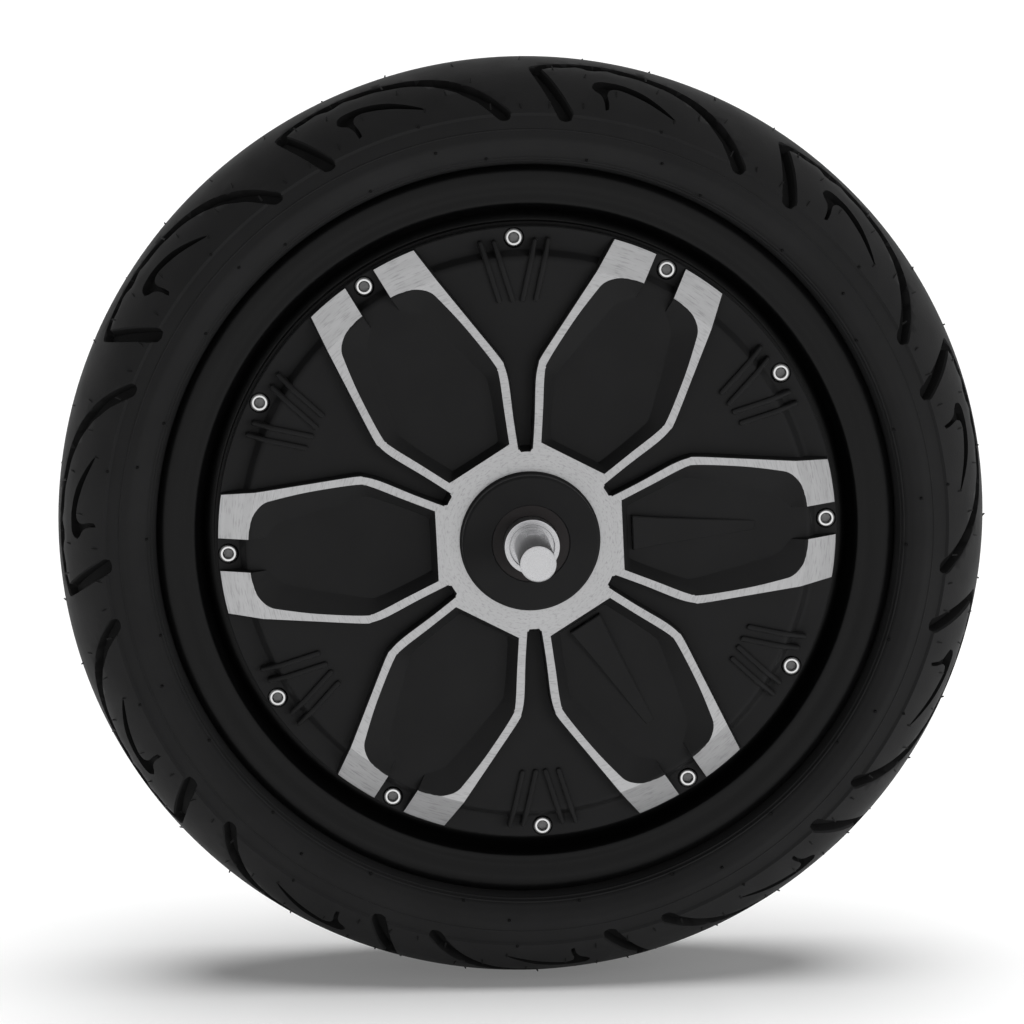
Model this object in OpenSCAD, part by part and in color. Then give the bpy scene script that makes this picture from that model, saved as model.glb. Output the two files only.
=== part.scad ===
// Hub motor wheel for an electric scooter: tubeless tyre on a cast rim whose
// drum is the rotor, turning on a fixed hollow axle that carries the stator.
// Every piece is drawn about the local Z axis, with the left side at +Z, and
// turned at the end so that the axle lies along Y and the left side faces -Y.

/* [Tyre] */
// Nominal section width
section_w = 90; // [84:1:96]
// Section height as a percentage of the section width
aspect = 70; // [65:1:75]
// Radius of the crown across the tread
crown_r = 51; // [49:0.5:54]
// Half width of the tread, axle centre plane to shoulder
tread_half_w = 44; // [42:0.5:44.5]
// Rubber and casing thickness under the tread
crown_t = 9; // [7:0.5:11]
// Sidewall thickness
sidewall_t = 5; // [4:0.5:6]
// Width of each bead along the axle
bead_w = 13; // [11:0.5:13.5]

/* [Tread] */
// Repeats of the groove pattern around the tyre
tread_repeats = 11; // [9:1:13]
// Depth of the tread grooves
groove_depth = 5; // [4:0.25:6]
// Angle of the first shoulder groove from the horizontal
tread_start = 19.2; // [0:0.1:32]

/* [Rim] */
// Bead seat diameter of a 12 inch rim
bead_seat_d = 304.8; // [300:0.1:310]
// Width between the rim flanges
rim_w = 63.5; // [62:0.5:66]
// Flange height above the bead seat
flange_h = 16.6; // [15:0.1:18]
// Thickness of the rolled flange lip along the axle
lip_t = 5.75; // [5:0.25:7]
// Depth of the drop centre under the bead seat
well_depth = 14.4; // [13:0.1:15]
// Half width of the drop centre floor
well_half_w = 8.5; // [7:0.5:10]
// Height of the humps that hold the beads out
hump_h = 0.7; // [0.4:0.1:1]
// Radial distance from the bead seats in to the drum bore
drum_depth = 21.4; // [20:0.1:24]
// Radial width of the drum ends that the covers seat on
land_w = 12; // [11.6:0.1:13]
// Depth of the side valley below the cover seats
valley_depth = 6; // [4:0.5:8]

/* [Rotor] */
// Radial thickness of the flux ring
flux_ring_t = 6; // [5:0.25:7]
// Half width of the flux ring
flux_half_w = 22; // [20.5:0.5:24]
// Number of magnets
magnet_count = 32; // [28:2:40]
// Radial thickness of a magnet
magnet_t = 3; // [2.5:0.1:3.5]
// Angle left free between two magnets
magnet_space = 1.4; // [1:0.1:2]
// Half width of the magnets and the stator core
stack_half_w = 20; // [18:0.5:20.5]

/* [Stator] */
// Radial air gap between the magnets and the teeth
air_gap = 0.8; // [0.6:0.1:1.2]
// Number of teeth
tooth_count = 36; // [36:36:36]
// Width of a tooth
tooth_w = 9; // [8:0.25:9.5]
// Radial height of a tooth, slot floor to air gap
tooth_h = 23.7; // [22:0.1:25]
// Radial thickness of the yoke behind the slots
yoke_t = 5.5; // [4.5:0.25:7]
// Thickness of a tooth's shoe at the air gap
shoe_t = 2.7; // [2:0.1:3]
// Width of the slot openings between the shoes
slot_opening = 3; // [2.5:0.1:4]
// Thickness of the end insulators
insulator_t = 0.8; // [0.6:0.1:1.2]
// Height of the end turns beyond the insulators
end_turn_h = 6.2; // [5:0.1:7]
// Slot liner between a tooth and its coil
liner_t = 0.4; // [0.3:0.1:0.6]
// Thickness of the Hall sensor board
board_t = 1.6; // [1:0.1:2]
// Width of one Hall sensor
sensor_w = 3; // [2.6:0.1:3.2]
// Length of one Hall sensor into its slot
sensor_l = 13; // [10:0.5:16]

/* [Spider] */
// Outer radius of the stator carrier's hub
spider_hub_r = 26; // [24:0.5:30]
// Half length of the carrier's hub
spider_hub_half = 24; // [21:0.5:25]
// Half thickness of the carrier's web
web_half_t = 4; // [3:0.5:6]
// Radial thickness of the carrier's rim
spider_rim_t = 7; // [5:0.5:9]
// Number of lightening holes
web_hole_count = 6; // [4:1:7]
// Radius of a lightening hole
web_hole_r = 15; // [10:0.5:17]

/* [Covers] */
// Distance from the wheel's centre plane to the cover seats
seat_z = 29.5; // [28:0.25:30]
// Gasket thickness
gasket_t = 0.5; // [0.3:0.1:1]
// How far the covers' edge stays inside the edge of the drum ends
cover_inset = 1.1; // [0.6:0.1:1.6]
// Thickness of the cover's screw ring
ring_t = 7.5; // [7:0.25:8.5]
// Height of the disc face above the screw ring
disc_rise = 6; // [5:0.25:7]
// Wall thickness of the disc
wall_t = 5; // [4:0.25:6]
// Distance from the cover's edge in to the start of the step down
step_inset = 13.6; // [13:0.1:15]
// Width of the sloped step
step_w = 3.6; // [2.5:0.1:4.5]
// Depth of the spigot that centres the cover in the drum
spigot_h = 4; // [3:0.25:5]
// Radial thickness of the spigot
spigot_t = 4.5; // [3.5:0.25:5]
// Radial clearance of the spigot in the drum
spigot_clear = 0.1; // [0.05:0.05:0.3]
// Distance from the centre plane to the outer face of the hub bosses
boss_z = 57; // [57:0.25:59]

/* [Cover screws] */
// Number of screws in each cover
screw_count = 12; // [12:12:12]
// Distance from the cover's edge in to the screw circle
screw_inset = 5.1; // [4.8:0.1:5.8]
// Nominal screw diameter
screw_d = 5; // [4:0.5:5.5]
// Diameter of the screw head
head_d = 8.5; // [8:0.1:9]
// Height of the screw head
head_h = 5; // [4:0.25:5.5]
// Width across the flats of the hexagon socket
socket_w = 4; // [3:0.25:4.5]
// Depth of the hexagon socket
socket_depth = 2.6; // [2:0.1:3]
// How far a head stands above the screw ring
head_proud = 0.8; // [0:0.1:1.5]
// Screw length under the head
screw_l = 16; // [14:1:17]
// Depth of the tapped holes in the drum ends
tap_depth = 16; // [15:0.5:18]
// Radial clearance of the counterbores and screw holes
screw_clear = 0.25; // [0.2:0.05:0.4]

/* [Left cover pattern] */
// Angle of the first petal from the horizontal
clocking = 2.8; // [0:0.1:10]
// Number of petals
petal_count = 6; // [6:6:6]
// Height of the petal ridges over the disc at the collar
ridge_rise_in = 6.5; // [5:0.25:7]
// Height of the petal ridges over the disc at the crease
ridge_rise_crease = 4.5; // [4:0.25:5]
// Distance from the cover's edge in to the crease in the ridge face
crease_inset = 15.9; // [14.4:0.1:18]
// Height of the ridge over the screw ring at the rim edge
tab_rise = 1.1; // [0.8:0.1:2]
// Radius of the collar where the petals meet
collar_r = 41; // [38:0.5:42]
// Half width of the gap that the ridge leaves for the petal's screw
neck_half_w = 7.6; // [6.5:0.1:9]
// Width of a fan rib
rib_w = 2.6; // [2:0.1:3.2]
// Height of the fan ribs over the disc
rib_rise = 1.7; // [1:0.1:2.5]
// Angle between a fan rib and its fan's centre line
rib_splay = 15; // [10:0.5:18]
// Distance between the two inner ribs at their inner ends
rib_pair_gap = 4.6; // [4:0.1:6]
// Distance between the two ribs of one side
rib_pitch = 6.1; // [5:0.1:7]
// Distance from the cover's edge in to the fan ribs' inner ends
rib_start_inset = 32.4; // [30:0.2:36]
// Distance from the cover's edge in to the fan ribs' outer ends
rib_end_inset = 6.9; // [6:0.1:9]

/* [Right cover] */
// Number of stiffening ribs
stiffener_count = 12; // [12:12:12]
// Width of a stiffening rib
stiffener_w = 4; // [3:0.25:6]
// Height of a stiffening rib over the disc
stiffener_h = 3; // [2:0.25:4]
// Bolt circle diameter of the brake disc
brake_pcd = 70; // [68:0.5:72]
// Number of brake disc bolts
brake_bolts = 5; // [3:1:6]
// Nominal diameter of the brake disc bolts
brake_bolt_d = 8; // [6:1:8]
// Depth of the brake disc bolt holes
brake_hole_depth = 17; // [12:0.5:18]
// Radius of the pilot that centres the brake disc
pilot_r = 29; // [28:0.25:30]
// Height of the brake disc pilot
pilot_h = 3; // [2:0.25:4]

/* [Left bearing] */
// Bore diameter, 6204
left_bore_d = 20; // [20:0.1:21]
// Outside diameter, 6204
left_outer_d = 47; // [46:0.5:49]
// Width, 6204
left_bearing_w = 14; // [13:0.25:14.5]
// Number of balls
left_ball_count = 8; // [7:1:8]

/* [Right bearing] */
// Bore diameter, 6205
right_bore_d = 25; // [24.5:0.1:25.5]
// Outside diameter, 6205
right_outer_d = 52; // [51:0.5:53]
// Width, 6205
right_bearing_w = 15; // [14:0.25:15]
// Number of balls
right_ball_count = 9; // [8:1:9]

/* [Bearings] */
// Distance from the centre plane to the inner face of each bearing
bearing_z = 36; // [35.5:0.25:36.5]
// Ball diameter
ball_d = 7.94; // [7:0.02:8]
// Clearance between balls and race grooves
ball_clear = 0.08; // [0.04:0.01:0.1]
// Half width of the ball cages
cage_half_w = 5; // [4.6:0.1:5.2]
// Radial thickness of the ball cages
cage_t = 1.7; // [1.2:0.1:2]
// Thickness of the bearing shields
shield_t = 0.5; // [0.4:0.1:0.6]
// Width of the shaft seals
seal_w = 6; // [5:0.25:6]
// Running clearance of the seals on the spacers
seal_clear = 0.1; // [0.05:0.01:0.2]

/* [Axle] */
// Half length of the axle
axle_half_l = 105; // [98:0.5:115]
// Axle diameter through the stator carrier
axle_core_d = 30; // [29:0.25:32]
// Distance from the centre plane to the dropout faces
dropout_z = 65; // [64:0.5:70]
// Length of the flats that key the axle in the dropouts
flat_l = 13; // [8:0.5:14]
// Diameter of the left threaded end
left_end_d = 16; // [14:0.5:17]
// Width across the left flats
left_flat_w = 12; // [10:0.5:13]
// Diameter of the right threaded end
right_end_d = 18; // [17:0.5:20]
// Width across the right flats
right_flat_w = 14; // [12.5:0.5:15]
// Radial wall of the spacers between bearing and dropout
left_spacer_t = 2.5; // [2:0.25:3]
// Radial wall of the right spacer
right_spacer_t = 3.5; // [2.5:0.25:4]
// Diameter of the cable bore in the right end
cable_bore_d = 10; // [8:0.5:11]
// Width of the key
key_w = 8; // [6:0.5:10]
// Height of the key
key_h = 7; // [6:0.25:8]
// Length of the key
key_l = 40; // [30:1:44]
// Depth of the keyway in the axle
key_depth = 4; // [3:0.25:5]

/* [Valve] */
// Angle of the valve from the horizontal
valve_angle = 257.8; // [250:0.1:264]
// Radial distance from the bead seats in to the valve's axis
valve_depth = 9.9; // [9.4:0.1:10.4]
// Diameter of the valve stem
stem_d = 8; // [7:0.25:8.5]
// Diameter of the valve's foot inside the tyre
foot_d = 13; // [11:0.25:13.5]
// Thickness of the valve's foot
foot_t = 2.5; // [2:0.25:3]
// Thickness of the rubber washer under the foot
washer_t = 2.5; // [1.5:0.25:3]
// Width across the flats of the valve nut
nut_w = 12; // [11:0.25:12.5]
// Thickness of the valve nut
nut_t = 4; // [3:0.25:5]
// Diameter of the threaded top of the valve
top_d = 5.2; // [5:0.1:6]
// Length of the threaded top of the valve
top_l = 12; // [10:0.5:14]
// Diameter of the valve cap
cap_d = 7.8; // [7.2:0.1:9]
// Length of the valve cap
cap_l = 14; // [13.5:0.25:16]

/* [Hidden] */
$fn = 96;
cut = 1;              // how far a cutter runs past what it cuts
seat_gap = 0.15;      // tyre bead over the bead seat
wrap_gap = 0.3;       // tyre sidewall over the rim lip
edge = 0.5;           // small chamfers on turned edges
arc_step = 5;         // degrees between the points of a round outline

bead_seat_r = bead_seat_d / 2;
drum_r = bead_seat_r - drum_depth;
land_r = drum_r + land_w;
cover_r = land_r - cover_inset;
step_r = cover_r - step_inset;
crease_r = cover_r - crease_inset;
screw_circle_r = cover_r - screw_inset;
rib_start_r = cover_r - rib_start_inset;
rib_end_r = cover_r - rib_end_inset;
valve_r = bead_seat_r - valve_depth;
tyre_r = bead_seat_r + section_w * aspect / 100;
crown_centre_r = tyre_r - crown_r;
shoulder_r = crown_centre_r + sqrt(pow(crown_r, 2) - pow(tread_half_w, 2));
inner_crown_r = crown_r - crown_t;
sidewall_mid_r = (bead_seat_r + tyre_r) / 2;
flange_z = rim_w / 2;
flange_r = bead_seat_r + flange_h;
lip_z = flange_z + lip_t;
well_r = bead_seat_r - well_depth;
seat_taper = 5;       // bead seats fall 5 degrees towards the well
bead_fall = bead_w * tan(seat_taper);

// Tyre in section: distance out from the flange's edge, and depth inside the
// section's full width or height over the flange.
lower_sidewall = [[9, 0.9], [4.5, 3.6]];
flange_wrap = [[1.6, 5], [2 * wrap_gap, 1.9], [-wrap_gap, edge - wrap_gap]];
// Rubber at the bead's toe, inside the tyre.
toe_rise = 1.2;
toe_w = 0.7;
bead_rise = 8;
bead_slope_w = 2;

// Rim in section. Lip: distance in from the flange's edge, depth below the
// crest. Valley: distance out from the drum ends' edge, height over its floor.
flange_section = [[3, 0], [0.8, 0.8], [0, 1.7], [1.2, 3.5]];
lip_section = [
    [3.5, 0.8], [6, 0.1], [7.5, 0], [9.4, 0.4], [11.5, 2],
    [13.2, 2.6], [14.4, 1.8], [15.6, 1.2], [17, 1.6], [18.2, 3.6]
];
valley_section = [[5, 2], [3.8, 0.5], [2.4, 0], [0.6, 0], [0, 0.8]];
// Hump in section: distance inboard of the bead's toe, height over the seat.
hump_section = [[3.2, hump_h], [2, hump_h], [0.6, 0]];
well_wall_h = 11;
well_wall_w = 5.5;

magnet_r = drum_r - flux_ring_t;
gap_r = magnet_r - magnet_t;
stator_r = gap_r - air_gap;
slot_floor_r = stator_r - tooth_h;
core_bore_r = slot_floor_r - yoke_t;
shoe_r = stator_r - shoe_t;
tooth_pitch = 360 / tooth_count;
coil_in_r = slot_floor_r + 0.7;
coil_out_r = shoe_r - 2.5;
coil_in_half = tooth_w / 2 + liner_t;
coil_out_half = coil_in_r * tan(tooth_pitch / 2) - 0.25;
coil_in_z = stack_half_w + insulator_t;
coil_out_z = coil_in_z + end_turn_h;
coil_corner = 2;

cover_z = seat_z + gasket_t;
ring_z = cover_z + ring_t;
disc_z = ring_z + disc_rise;
inner_z = disc_z - wall_t;
spigot_r = drum_r - spigot_clear;
collar_z = disc_z + ridge_rise_in;
crease_z = disc_z + ridge_rise_crease;
tab_z = ring_z + tab_rise;
head_z = ring_z + head_proud;
head_seat_z = head_z - head_h;
fan_offset = 180 / petal_count;

left_outer_z = bearing_z + left_bearing_w;
right_outer_z = bearing_z + right_bearing_w;
left_pitch_r = (left_bore_d + left_outer_d) / 4;
right_pitch_r = (right_bore_d + right_outer_d) / 4;
left_boss_r = left_outer_d / 2 + 7.5;
right_boss_r = brake_pcd / 2 + brake_bolt_d;
retainer = 5;         // depth of the shoulder that stops a bearing's outer race
left_seal_r = left_outer_d / 2 - retainer - 1;
right_seal_r = right_outer_d / 2 - retainer;
seal_inset = 0.5;     // gap between a bearing and its seal
race_gap = ball_d * 0.29;  // from the ball circle to the shoulder of a race
boss_wall = 6;        // wall around a bearing, inside the motor
boss_in_z = bearing_z - 1.5;
left_spacer_r = left_bore_d / 2 + left_spacer_t;
right_spacer_r = right_bore_d / 2 + right_spacer_t;
spacer_reach = 2;     // how far a spacer stands past the axle's shoulder
axle_core_r = axle_core_d / 2;

foot_seat_z = 15.2;   // flat inside the tyre that the valve's foot seats on
nut_seat_z = 22;      // flat in the side valley that the valve nut seats on
scallop_r = 7.5;      // radius of the hollow around the valve nut
valve_top_z = nut_seat_z + nut_t + 4;

// Middle lines of the tread grooves in plan, left side: distance along the
// tread, distance from its middle, half width. They are drawn for this repeat
// and this distance to the shoulder, and stretched to the tyre set.
drawn_pitch = 123;
drawn_shoulder = 53;
long_groove = [
    [93, 53, 1.6], [90.4, 50.3, 3.6], [83, 43, 3.5], [72, 33.6, 3.1], [58, 24.6, 2.7],
    [38, 18, 2.4], [15, 15, 2], [-14, 19.8, 1.9]
];
short_groove = [[0.1, 53.6, 1.8], [-1.8, 50.2, 4], [-9.5, 36, 3.7], [-16.8, 20.5, 2.2]];
hook_groove = [[53.2, 41.5, 0.3], [36, 33, 2.2], [24, 29.8, 2.1], [14.6, 31, 2.8], [18.4, 44.5, 0.8]];
// Corners of a groove's section: share of its half width, height over the tread.
groove_corners = [[-1.15, 2.5], [1.15, 2.5], [0.7, -groove_depth], [-0.7, -groove_depth]];

// Petal outlines in plan: distance out from the axle, half width there. They
// are drawn for these two radii, and stretched to the collar and cover set.
drawn_collar_r = 41;
drawn_cover_r = 141.9;
petal_edge = placed([
    [38, 18.4], [51, 24.2], [66.3, 31.5], [73.6, 33.8], [77.9, 34.1],
    [100, 31.8], [122.5, 29.4], [143.9, 27.2]
]);
// Inner edge of the silver ridge and the outline where its wall meets the floor.
pocket_top = placed([
    [41, 15.5], [56.5, 22.5], [71, 29.1], [77.5, 30.2], [98, 28.2], [113.5, 25.5],
    [119.5, 23.8], [123.5, 20], [125.6, 16], [126.8, 11], [127.2, neck_half_w]
]);
pocket_floor = placed([
    [45, 12.1], [57, 17.6], [69, 22.4], [74.5, 23.2], [93, 19], [109, 15],
    [112.8, 13.6], [115.4, 11.6], [117.3, 9.6], [118.5, 8.4], [119.5, neck_half_w]
]);
// Petals that carry a raised wedge on their floor.
wedge_petals = [0, 5];
wedge_in_r = collar_r + 6;
wedge_out_r = cover_r - 38.4;
wedge_in_half = 8;
wedge_out_half = 2.3;
wedge_h = 3;
wedge_out_h = 0.3;
neck_start_r = cover_r - 28.9;  // where the channel to the petal's screw starts

function placed(outline) = [
    for (p = outline)
        let (t = (p[0] - drawn_collar_r) / (drawn_cover_r - drawn_collar_r))
        [between(collar_r, cover_r, t), p[1]]
];
function reversed(list) = [for (i = [len(list) - 1:-1:0]) list[i]];
function both_sides(half) = concat(half, [for (p = reversed(half)) [p[0], -p[1]]]);
function arc(centre_r, r, from, to, step = arc_step) =
    [for (i = [0:ceil(abs(to - from) / step)])
        let (a = from + (to - from) * i / ceil(abs(to - from) / step))
        [centre_r + r * cos(a), r * sin(a)]];
function between(a, b, t) = a + (b - a) * t;
function slot_half(r) = r * tan(tooth_pitch / 2) - tooth_w / 2 / cos(tooth_pitch / 2);

// Turns the local Z axis along the axle: towards the left side, or the right.
module left_side() {
    rotate([90, 0, 0]) children();
}

module right_side() {
    left_side() mirror([0, 0, 1]) children();
}

module wheel_turned() {
    rotate([0, 0, clocking]) children();
}

module around(count, r = 0, start = 0) {
    for (i = [0:count - 1])
        rotate([0, 0, start + i * 360 / count])
            translate([r, 0, 0])
                children();
}

module ring(r_in, r_out, z_low, z_high) {
    translate([0, 0, z_low])
        difference() {
            cylinder(r = r_out, h = z_high - z_low);
            translate([0, 0, -cut])
                cylinder(r = r_in, h = z_high - z_low + 2 * cut);
        }
}

// ---- Tyre and rim ----

// Direction across a groove's middle line at one of its points.
function across(line, i) =
    let (a = line[max(i - 1, 0)], b = line[min(i + 1, len(line) - 1)])
    let (d = norm([b[0] - a[0], b[1] - a[1]]))
    [(a[1] - b[1]) / d, (b[0] - a[0]) / d];
// A place on the crown: distance along, distance from the middle, height over it.
function on_crown(x, s, over) =
    let (turn = -x / drawn_pitch * 360 / tread_repeats)
    let (tilt = s / drawn_shoulder * asin(tread_half_w / crown_r))
    let (r = crown_centre_r + (crown_r + over) * cos(tilt))
    [r * cos(turn), r * sin(turn), (crown_r + over) * sin(tilt)];
function groove_section(line, i) =
    let (p = line[i], n = across(line, i) * line[i][2])
    [for (c = groove_corners) on_crown(p[0] + n[0] * c[0], p[1] + n[1] * c[0], c[1])];

module groove(line) {
    last = 4 * (len(line) - 1);
    corners = [for (i = [0:4:last - 4]) for (j = [0:3]) [i + j, i + (j + 1) % 4]];
    polyhedron(
        [for (i = [0:len(line) - 1]) for (p = groove_section(line, i)) p],
        concat(
            [[0, 1, 2], [0, 2, 3], [last + 2, last + 1, last], [last + 3, last + 2, last]],
            [for (c = corners) [c[1] + 4, c[1], c[0]]],
            [for (c = corners) [c[0] + 4, c[1] + 4, c[0]]]
        )
    );
}

// Grooves of both sides; the right side's lie half a repeat further on.
module tread_grooves() {
    for (side = [0, 1])
        mirror([0, 0, side])
            around(tread_repeats, 0, tread_start - side * 180 / tread_repeats)
                for (line = [long_groove, short_groove, hook_groove])
                    groove(line);
}

module tyre() {
    shoulder_a = asin(tread_half_w / crown_r);
    inner_a = asin((tread_half_w - sidewall_t * 2.2) / inner_crown_r);
    bulge_z = section_w / 2;
    sidewall = [
        [shoulder_r - 1.4, tread_half_w - 0.6],
        [sidewall_mid_r, bulge_z],
        for (p = lower_sidewall) [flange_r + p[0], bulge_z - p[1]],
        for (p = flange_wrap) [flange_r + p[0], flange_z + p[1]],
        [flange_r - flange_section[0][0], flange_z]
    ];
    bead = [
        [bead_seat_r + seat_gap, flange_z],
        [bead_seat_r + seat_gap - bead_fall, flange_z - bead_w],
        [bead_seat_r + toe_rise, flange_z - bead_w - toe_w],
        [bead_seat_r + bead_rise, flange_z - bead_w + bead_slope_w],
        [bead_seat_r + flange_h - 2.4, flange_z - bead_w / 2],
        [flange_r + 3, flange_z + 4.5 - sidewall_t],
        [flange_r + lower_sidewall[0][0], bulge_z - sidewall_t - 1],
        [sidewall_mid_r + 2, bulge_z - sidewall_t]
    ];
    half = concat(
        arc(crown_centre_r, crown_r, 0, shoulder_a),
        sidewall,
        bead,
        arc(crown_centre_r, inner_crown_r, inner_a, 0)
    );
    lower = [for (p = reversed(half)) if (p[1] > 0.001) [p[0], -p[1]]];
    color([0.07, 0.07, 0.075])
        left_side()
            difference() {
                rotate_extrude()
                    polygon(concat(half, lower));
                tread_grooves();
            }
}

module rim_section() {
    side_z = seat_z - valley_depth;
    toe_z = flange_z - bead_w;
    half = [
        [well_r, well_half_w],
        [well_r + well_wall_h, well_half_w + well_wall_w],
        for (p = hump_section) [bead_seat_r - bead_fall + p[1], toe_z - p[0]],
        [bead_seat_r, flange_z],
        for (p = flange_section) [flange_r - p[0], flange_z + p[1]],
        for (p = lip_section) [flange_r - p[0], lip_z - p[1]],
        for (p = valley_section) [land_r + p[0], side_z + p[1]],
        [land_r, seat_z],
        [drum_r, seat_z]
    ];
    polygon(both_sides(half));
}

module rim() {
    foot_pocket_z = well_half_w - 2.5;
    color([0.08, 0.08, 0.085])
        left_side()
            difference() {
                rotate_extrude() rim_section();
                for (side = [0, 1])
                    mirror([0, 0, side])
                        wheel_turned()
                            around(screw_count, screw_circle_r)
                                translate([0, 0, seat_z - tap_depth])
                                    cylinder(d = screw_d, h = tap_depth + cut);
                valve_place() {
                    translate([0, 0, foot_pocket_z])
                        cylinder(d = foot_d + 1.2, h = foot_seat_z - foot_pocket_z);
                    translate([0, 0, nut_seat_z])
                        cylinder(r = scallop_r, h = seat_z);
                    cylinder(d = stem_d + 0.2, h = nut_seat_z + cut);
                }
            }
}

// ---- Rotor ----

module flux_ring() {
    color([0.45, 0.45, 0.47])
        left_side() ring(magnet_r, drum_r, -flux_half_w, flux_half_w);
}

module magnets() {
    pitch = 360 / magnet_count;
    color([0.72, 0.72, 0.75])
        left_side()
            around(magnet_count)
                rotate_extrude(angle = pitch - magnet_space)
                    translate([gap_r, -stack_half_w])
                        square([magnet_t, 2 * stack_half_w]);
}

// ---- Covers ----

// Rim-side half of both covers: disc, step, screw ring and spigot, from the
// radius where the boss ends.
function cover_outside(boss_r) = [
    [boss_r, disc_z],
    [step_r, disc_z],
    [step_r + step_w, ring_z],
    [cover_r - edge, ring_z],
    [cover_r, ring_z - edge],
    [cover_r, cover_z],
    [spigot_r, cover_z],
    [spigot_r, cover_z - spigot_h],
    [spigot_r - spigot_t, cover_z - spigot_h],
    [spigot_r - spigot_t - 2.5, inner_z]
];
function bearing_seat(outer_d, outer_z, seal_r, top_z) = [
    [outer_d / 2 + boss_wall + 3, inner_z],
    [outer_d / 2 + boss_wall, boss_in_z],
    [outer_d / 2, boss_in_z],
    [outer_d / 2, outer_z],
    [seal_r, outer_z],
    [seal_r, top_z]
];

module cover_screw_holes() {
    around(screw_count, screw_circle_r) {
        translate([0, 0, cover_z - cut])
            cylinder(d = screw_d + 2 * screw_clear, h = ring_t);
        translate([0, 0, head_seat_z])
            cylinder(d = head_d + 2 * screw_clear, h = head_h + 12);
    }
}

// Closed solid between two outlines of as many points, listed clockwise as
// seen from above.
module loft(low, high) {
    n = len(low);
    sides = [for (i = [0:n - 1]) let (j = (i + 1) % n) [[i, j, n + j], [i, n + j, n + i]]];
    polyhedron(
        concat(low, high),
        concat(
            [[for (i = [0:n - 1]) n - 1 - i]],
            [for (pair = sides) pair[0]],
            [for (pair = sides) pair[1]],
            [[for (i = [0:n - 1]) n + i]]
        )
    );
}

// The pocket's outline at one height: pocket_floor at the disc face, and
// pocket_top at the collar level.
function pocket_outline(z) =
    let (t = (z - disc_z) / (collar_z - disc_z))
    [for (p = both_sides([for (i = [0:len(pocket_top) - 1]) between(pocket_floor[i], pocket_top[i], t)]))
        [p[0], p[1], z]];

module pocket() {
    loft(pocket_outline(disc_z - 1), pocket_outline(collar_z + cut));
}

module petal_ridges() {
    difference() {
        intersection() {
            rotate_extrude()
                polygon([
                    [collar_r - 3, inner_z + 1],
                    [collar_r - 3, collar_z],
                    [collar_r, collar_z],
                    [crease_r, crease_z],
                    [cover_r - 0.3, tab_z],
                    [cover_r - 0.3, ring_z - 1],
                    [step_r + 1, ring_z - 1],
                    [step_r - 3, inner_z + 1]
                ]);
            around(petal_count)
                linear_extrude(collar_z + cut)
                    polygon(both_sides(petal_edge));
        }
        around(petal_count) {
            pocket();
            translate([neck_start_r, -neck_half_w, ring_z - 1.5])
                cube([cover_r, 2 * neck_half_w, collar_z]);
        }
    }
}

module capsule(length, width, height) {
    cylinder(d = width, h = height);
    translate([0, -width / 2, 0])
        cube([length, width, height]);
    translate([length, 0, 0])
        cylinder(d = width, h = height);
}

module fan_ribs() {
    length = (rib_end_r - rib_start_r) / cos(rib_splay);
    intersection() {
        rotate_extrude()
            polygon([
                [rib_start_r - rib_w, inner_z + 1],
                [rib_start_r - rib_w, disc_z + rib_rise],
                [step_r - 2, disc_z + rib_rise],
                [rib_end_r + rib_w, ring_z + 3.2],
                [rib_end_r + rib_w, ring_z - 1],
                [step_r + 1, ring_z - 1],
                [step_r - 3, inner_z + 1]
            ]);
        around(petal_count, 0, fan_offset)
            for (side = [-1, 1])
                for (i = [0, 1])
                    translate([rib_start_r, side * (rib_pair_gap / 2 + i * rib_pitch), 0])
                        rotate([0, 0, side * rib_splay])
                            capsule(length, rib_w, boss_z);
    }
}

function wedge_outline(z_in, z_out) = [
    [wedge_in_r, -wedge_in_half, z_in],
    [wedge_in_r, wedge_in_half, z_in],
    [wedge_out_r, wedge_out_half, z_out],
    [wedge_out_r, -wedge_out_half, z_out]
];

module floor_wedges() {
    for (i = wedge_petals)
        rotate([0, 0, i * 360 / petal_count])
            loft(
                wedge_outline(disc_z - 1, disc_z - 1),
                wedge_outline(disc_z + wedge_h, disc_z + wedge_out_h)
            );
}

module left_cover() {
    color([0.1, 0.1, 0.105])
        left_side() wheel_turned()
            difference() {
                union() {
                    rotate_extrude()
                        polygon(concat(
                            [[left_seal_r, boss_z], [left_boss_r - 1, boss_z], [left_boss_r, boss_z - 1]],
                            [[left_boss_r, collar_z], [collar_r, collar_z]],
                            cover_outside(collar_r + 2),
                            bearing_seat(left_outer_d, left_outer_z, left_seal_r, boss_z)
                        ));
                    petal_ridges();
                    fan_ribs();
                    floor_wedges();
                }
                cover_screw_holes();
            }
}

module right_cover() {
    color([0.1, 0.1, 0.105])
        right_side()
            difference() {
                union() {
                    rotate_extrude()
                        polygon(concat(
                            [[right_seal_r, boss_z + pilot_h], [pilot_r - edge, boss_z + pilot_h]],
                            [[pilot_r, boss_z + pilot_h - edge], [pilot_r, boss_z]],
                            [[right_boss_r - 1, boss_z], [right_boss_r, boss_z - 1]],
                            cover_outside(right_boss_r + 4),
                            bearing_seat(right_outer_d, right_outer_z, right_seal_r, boss_z + pilot_h)
                        ));
                    wheel_turned()
                        around(stiffener_count, 0, 180 / stiffener_count)
                            translate([right_boss_r - 2, -stiffener_w / 2, disc_z - 1])
                                cube([step_r - 3 - right_boss_r, stiffener_w, stiffener_h + 1]);
                }
                wheel_turned() cover_screw_holes();
                around(brake_bolts, brake_pcd / 2, 90)
                    translate([0, 0, boss_z - brake_hole_depth])
                        cylinder(d = brake_bolt_d, h = brake_hole_depth + cut);
                valve_scallop();
            }
}

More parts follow.
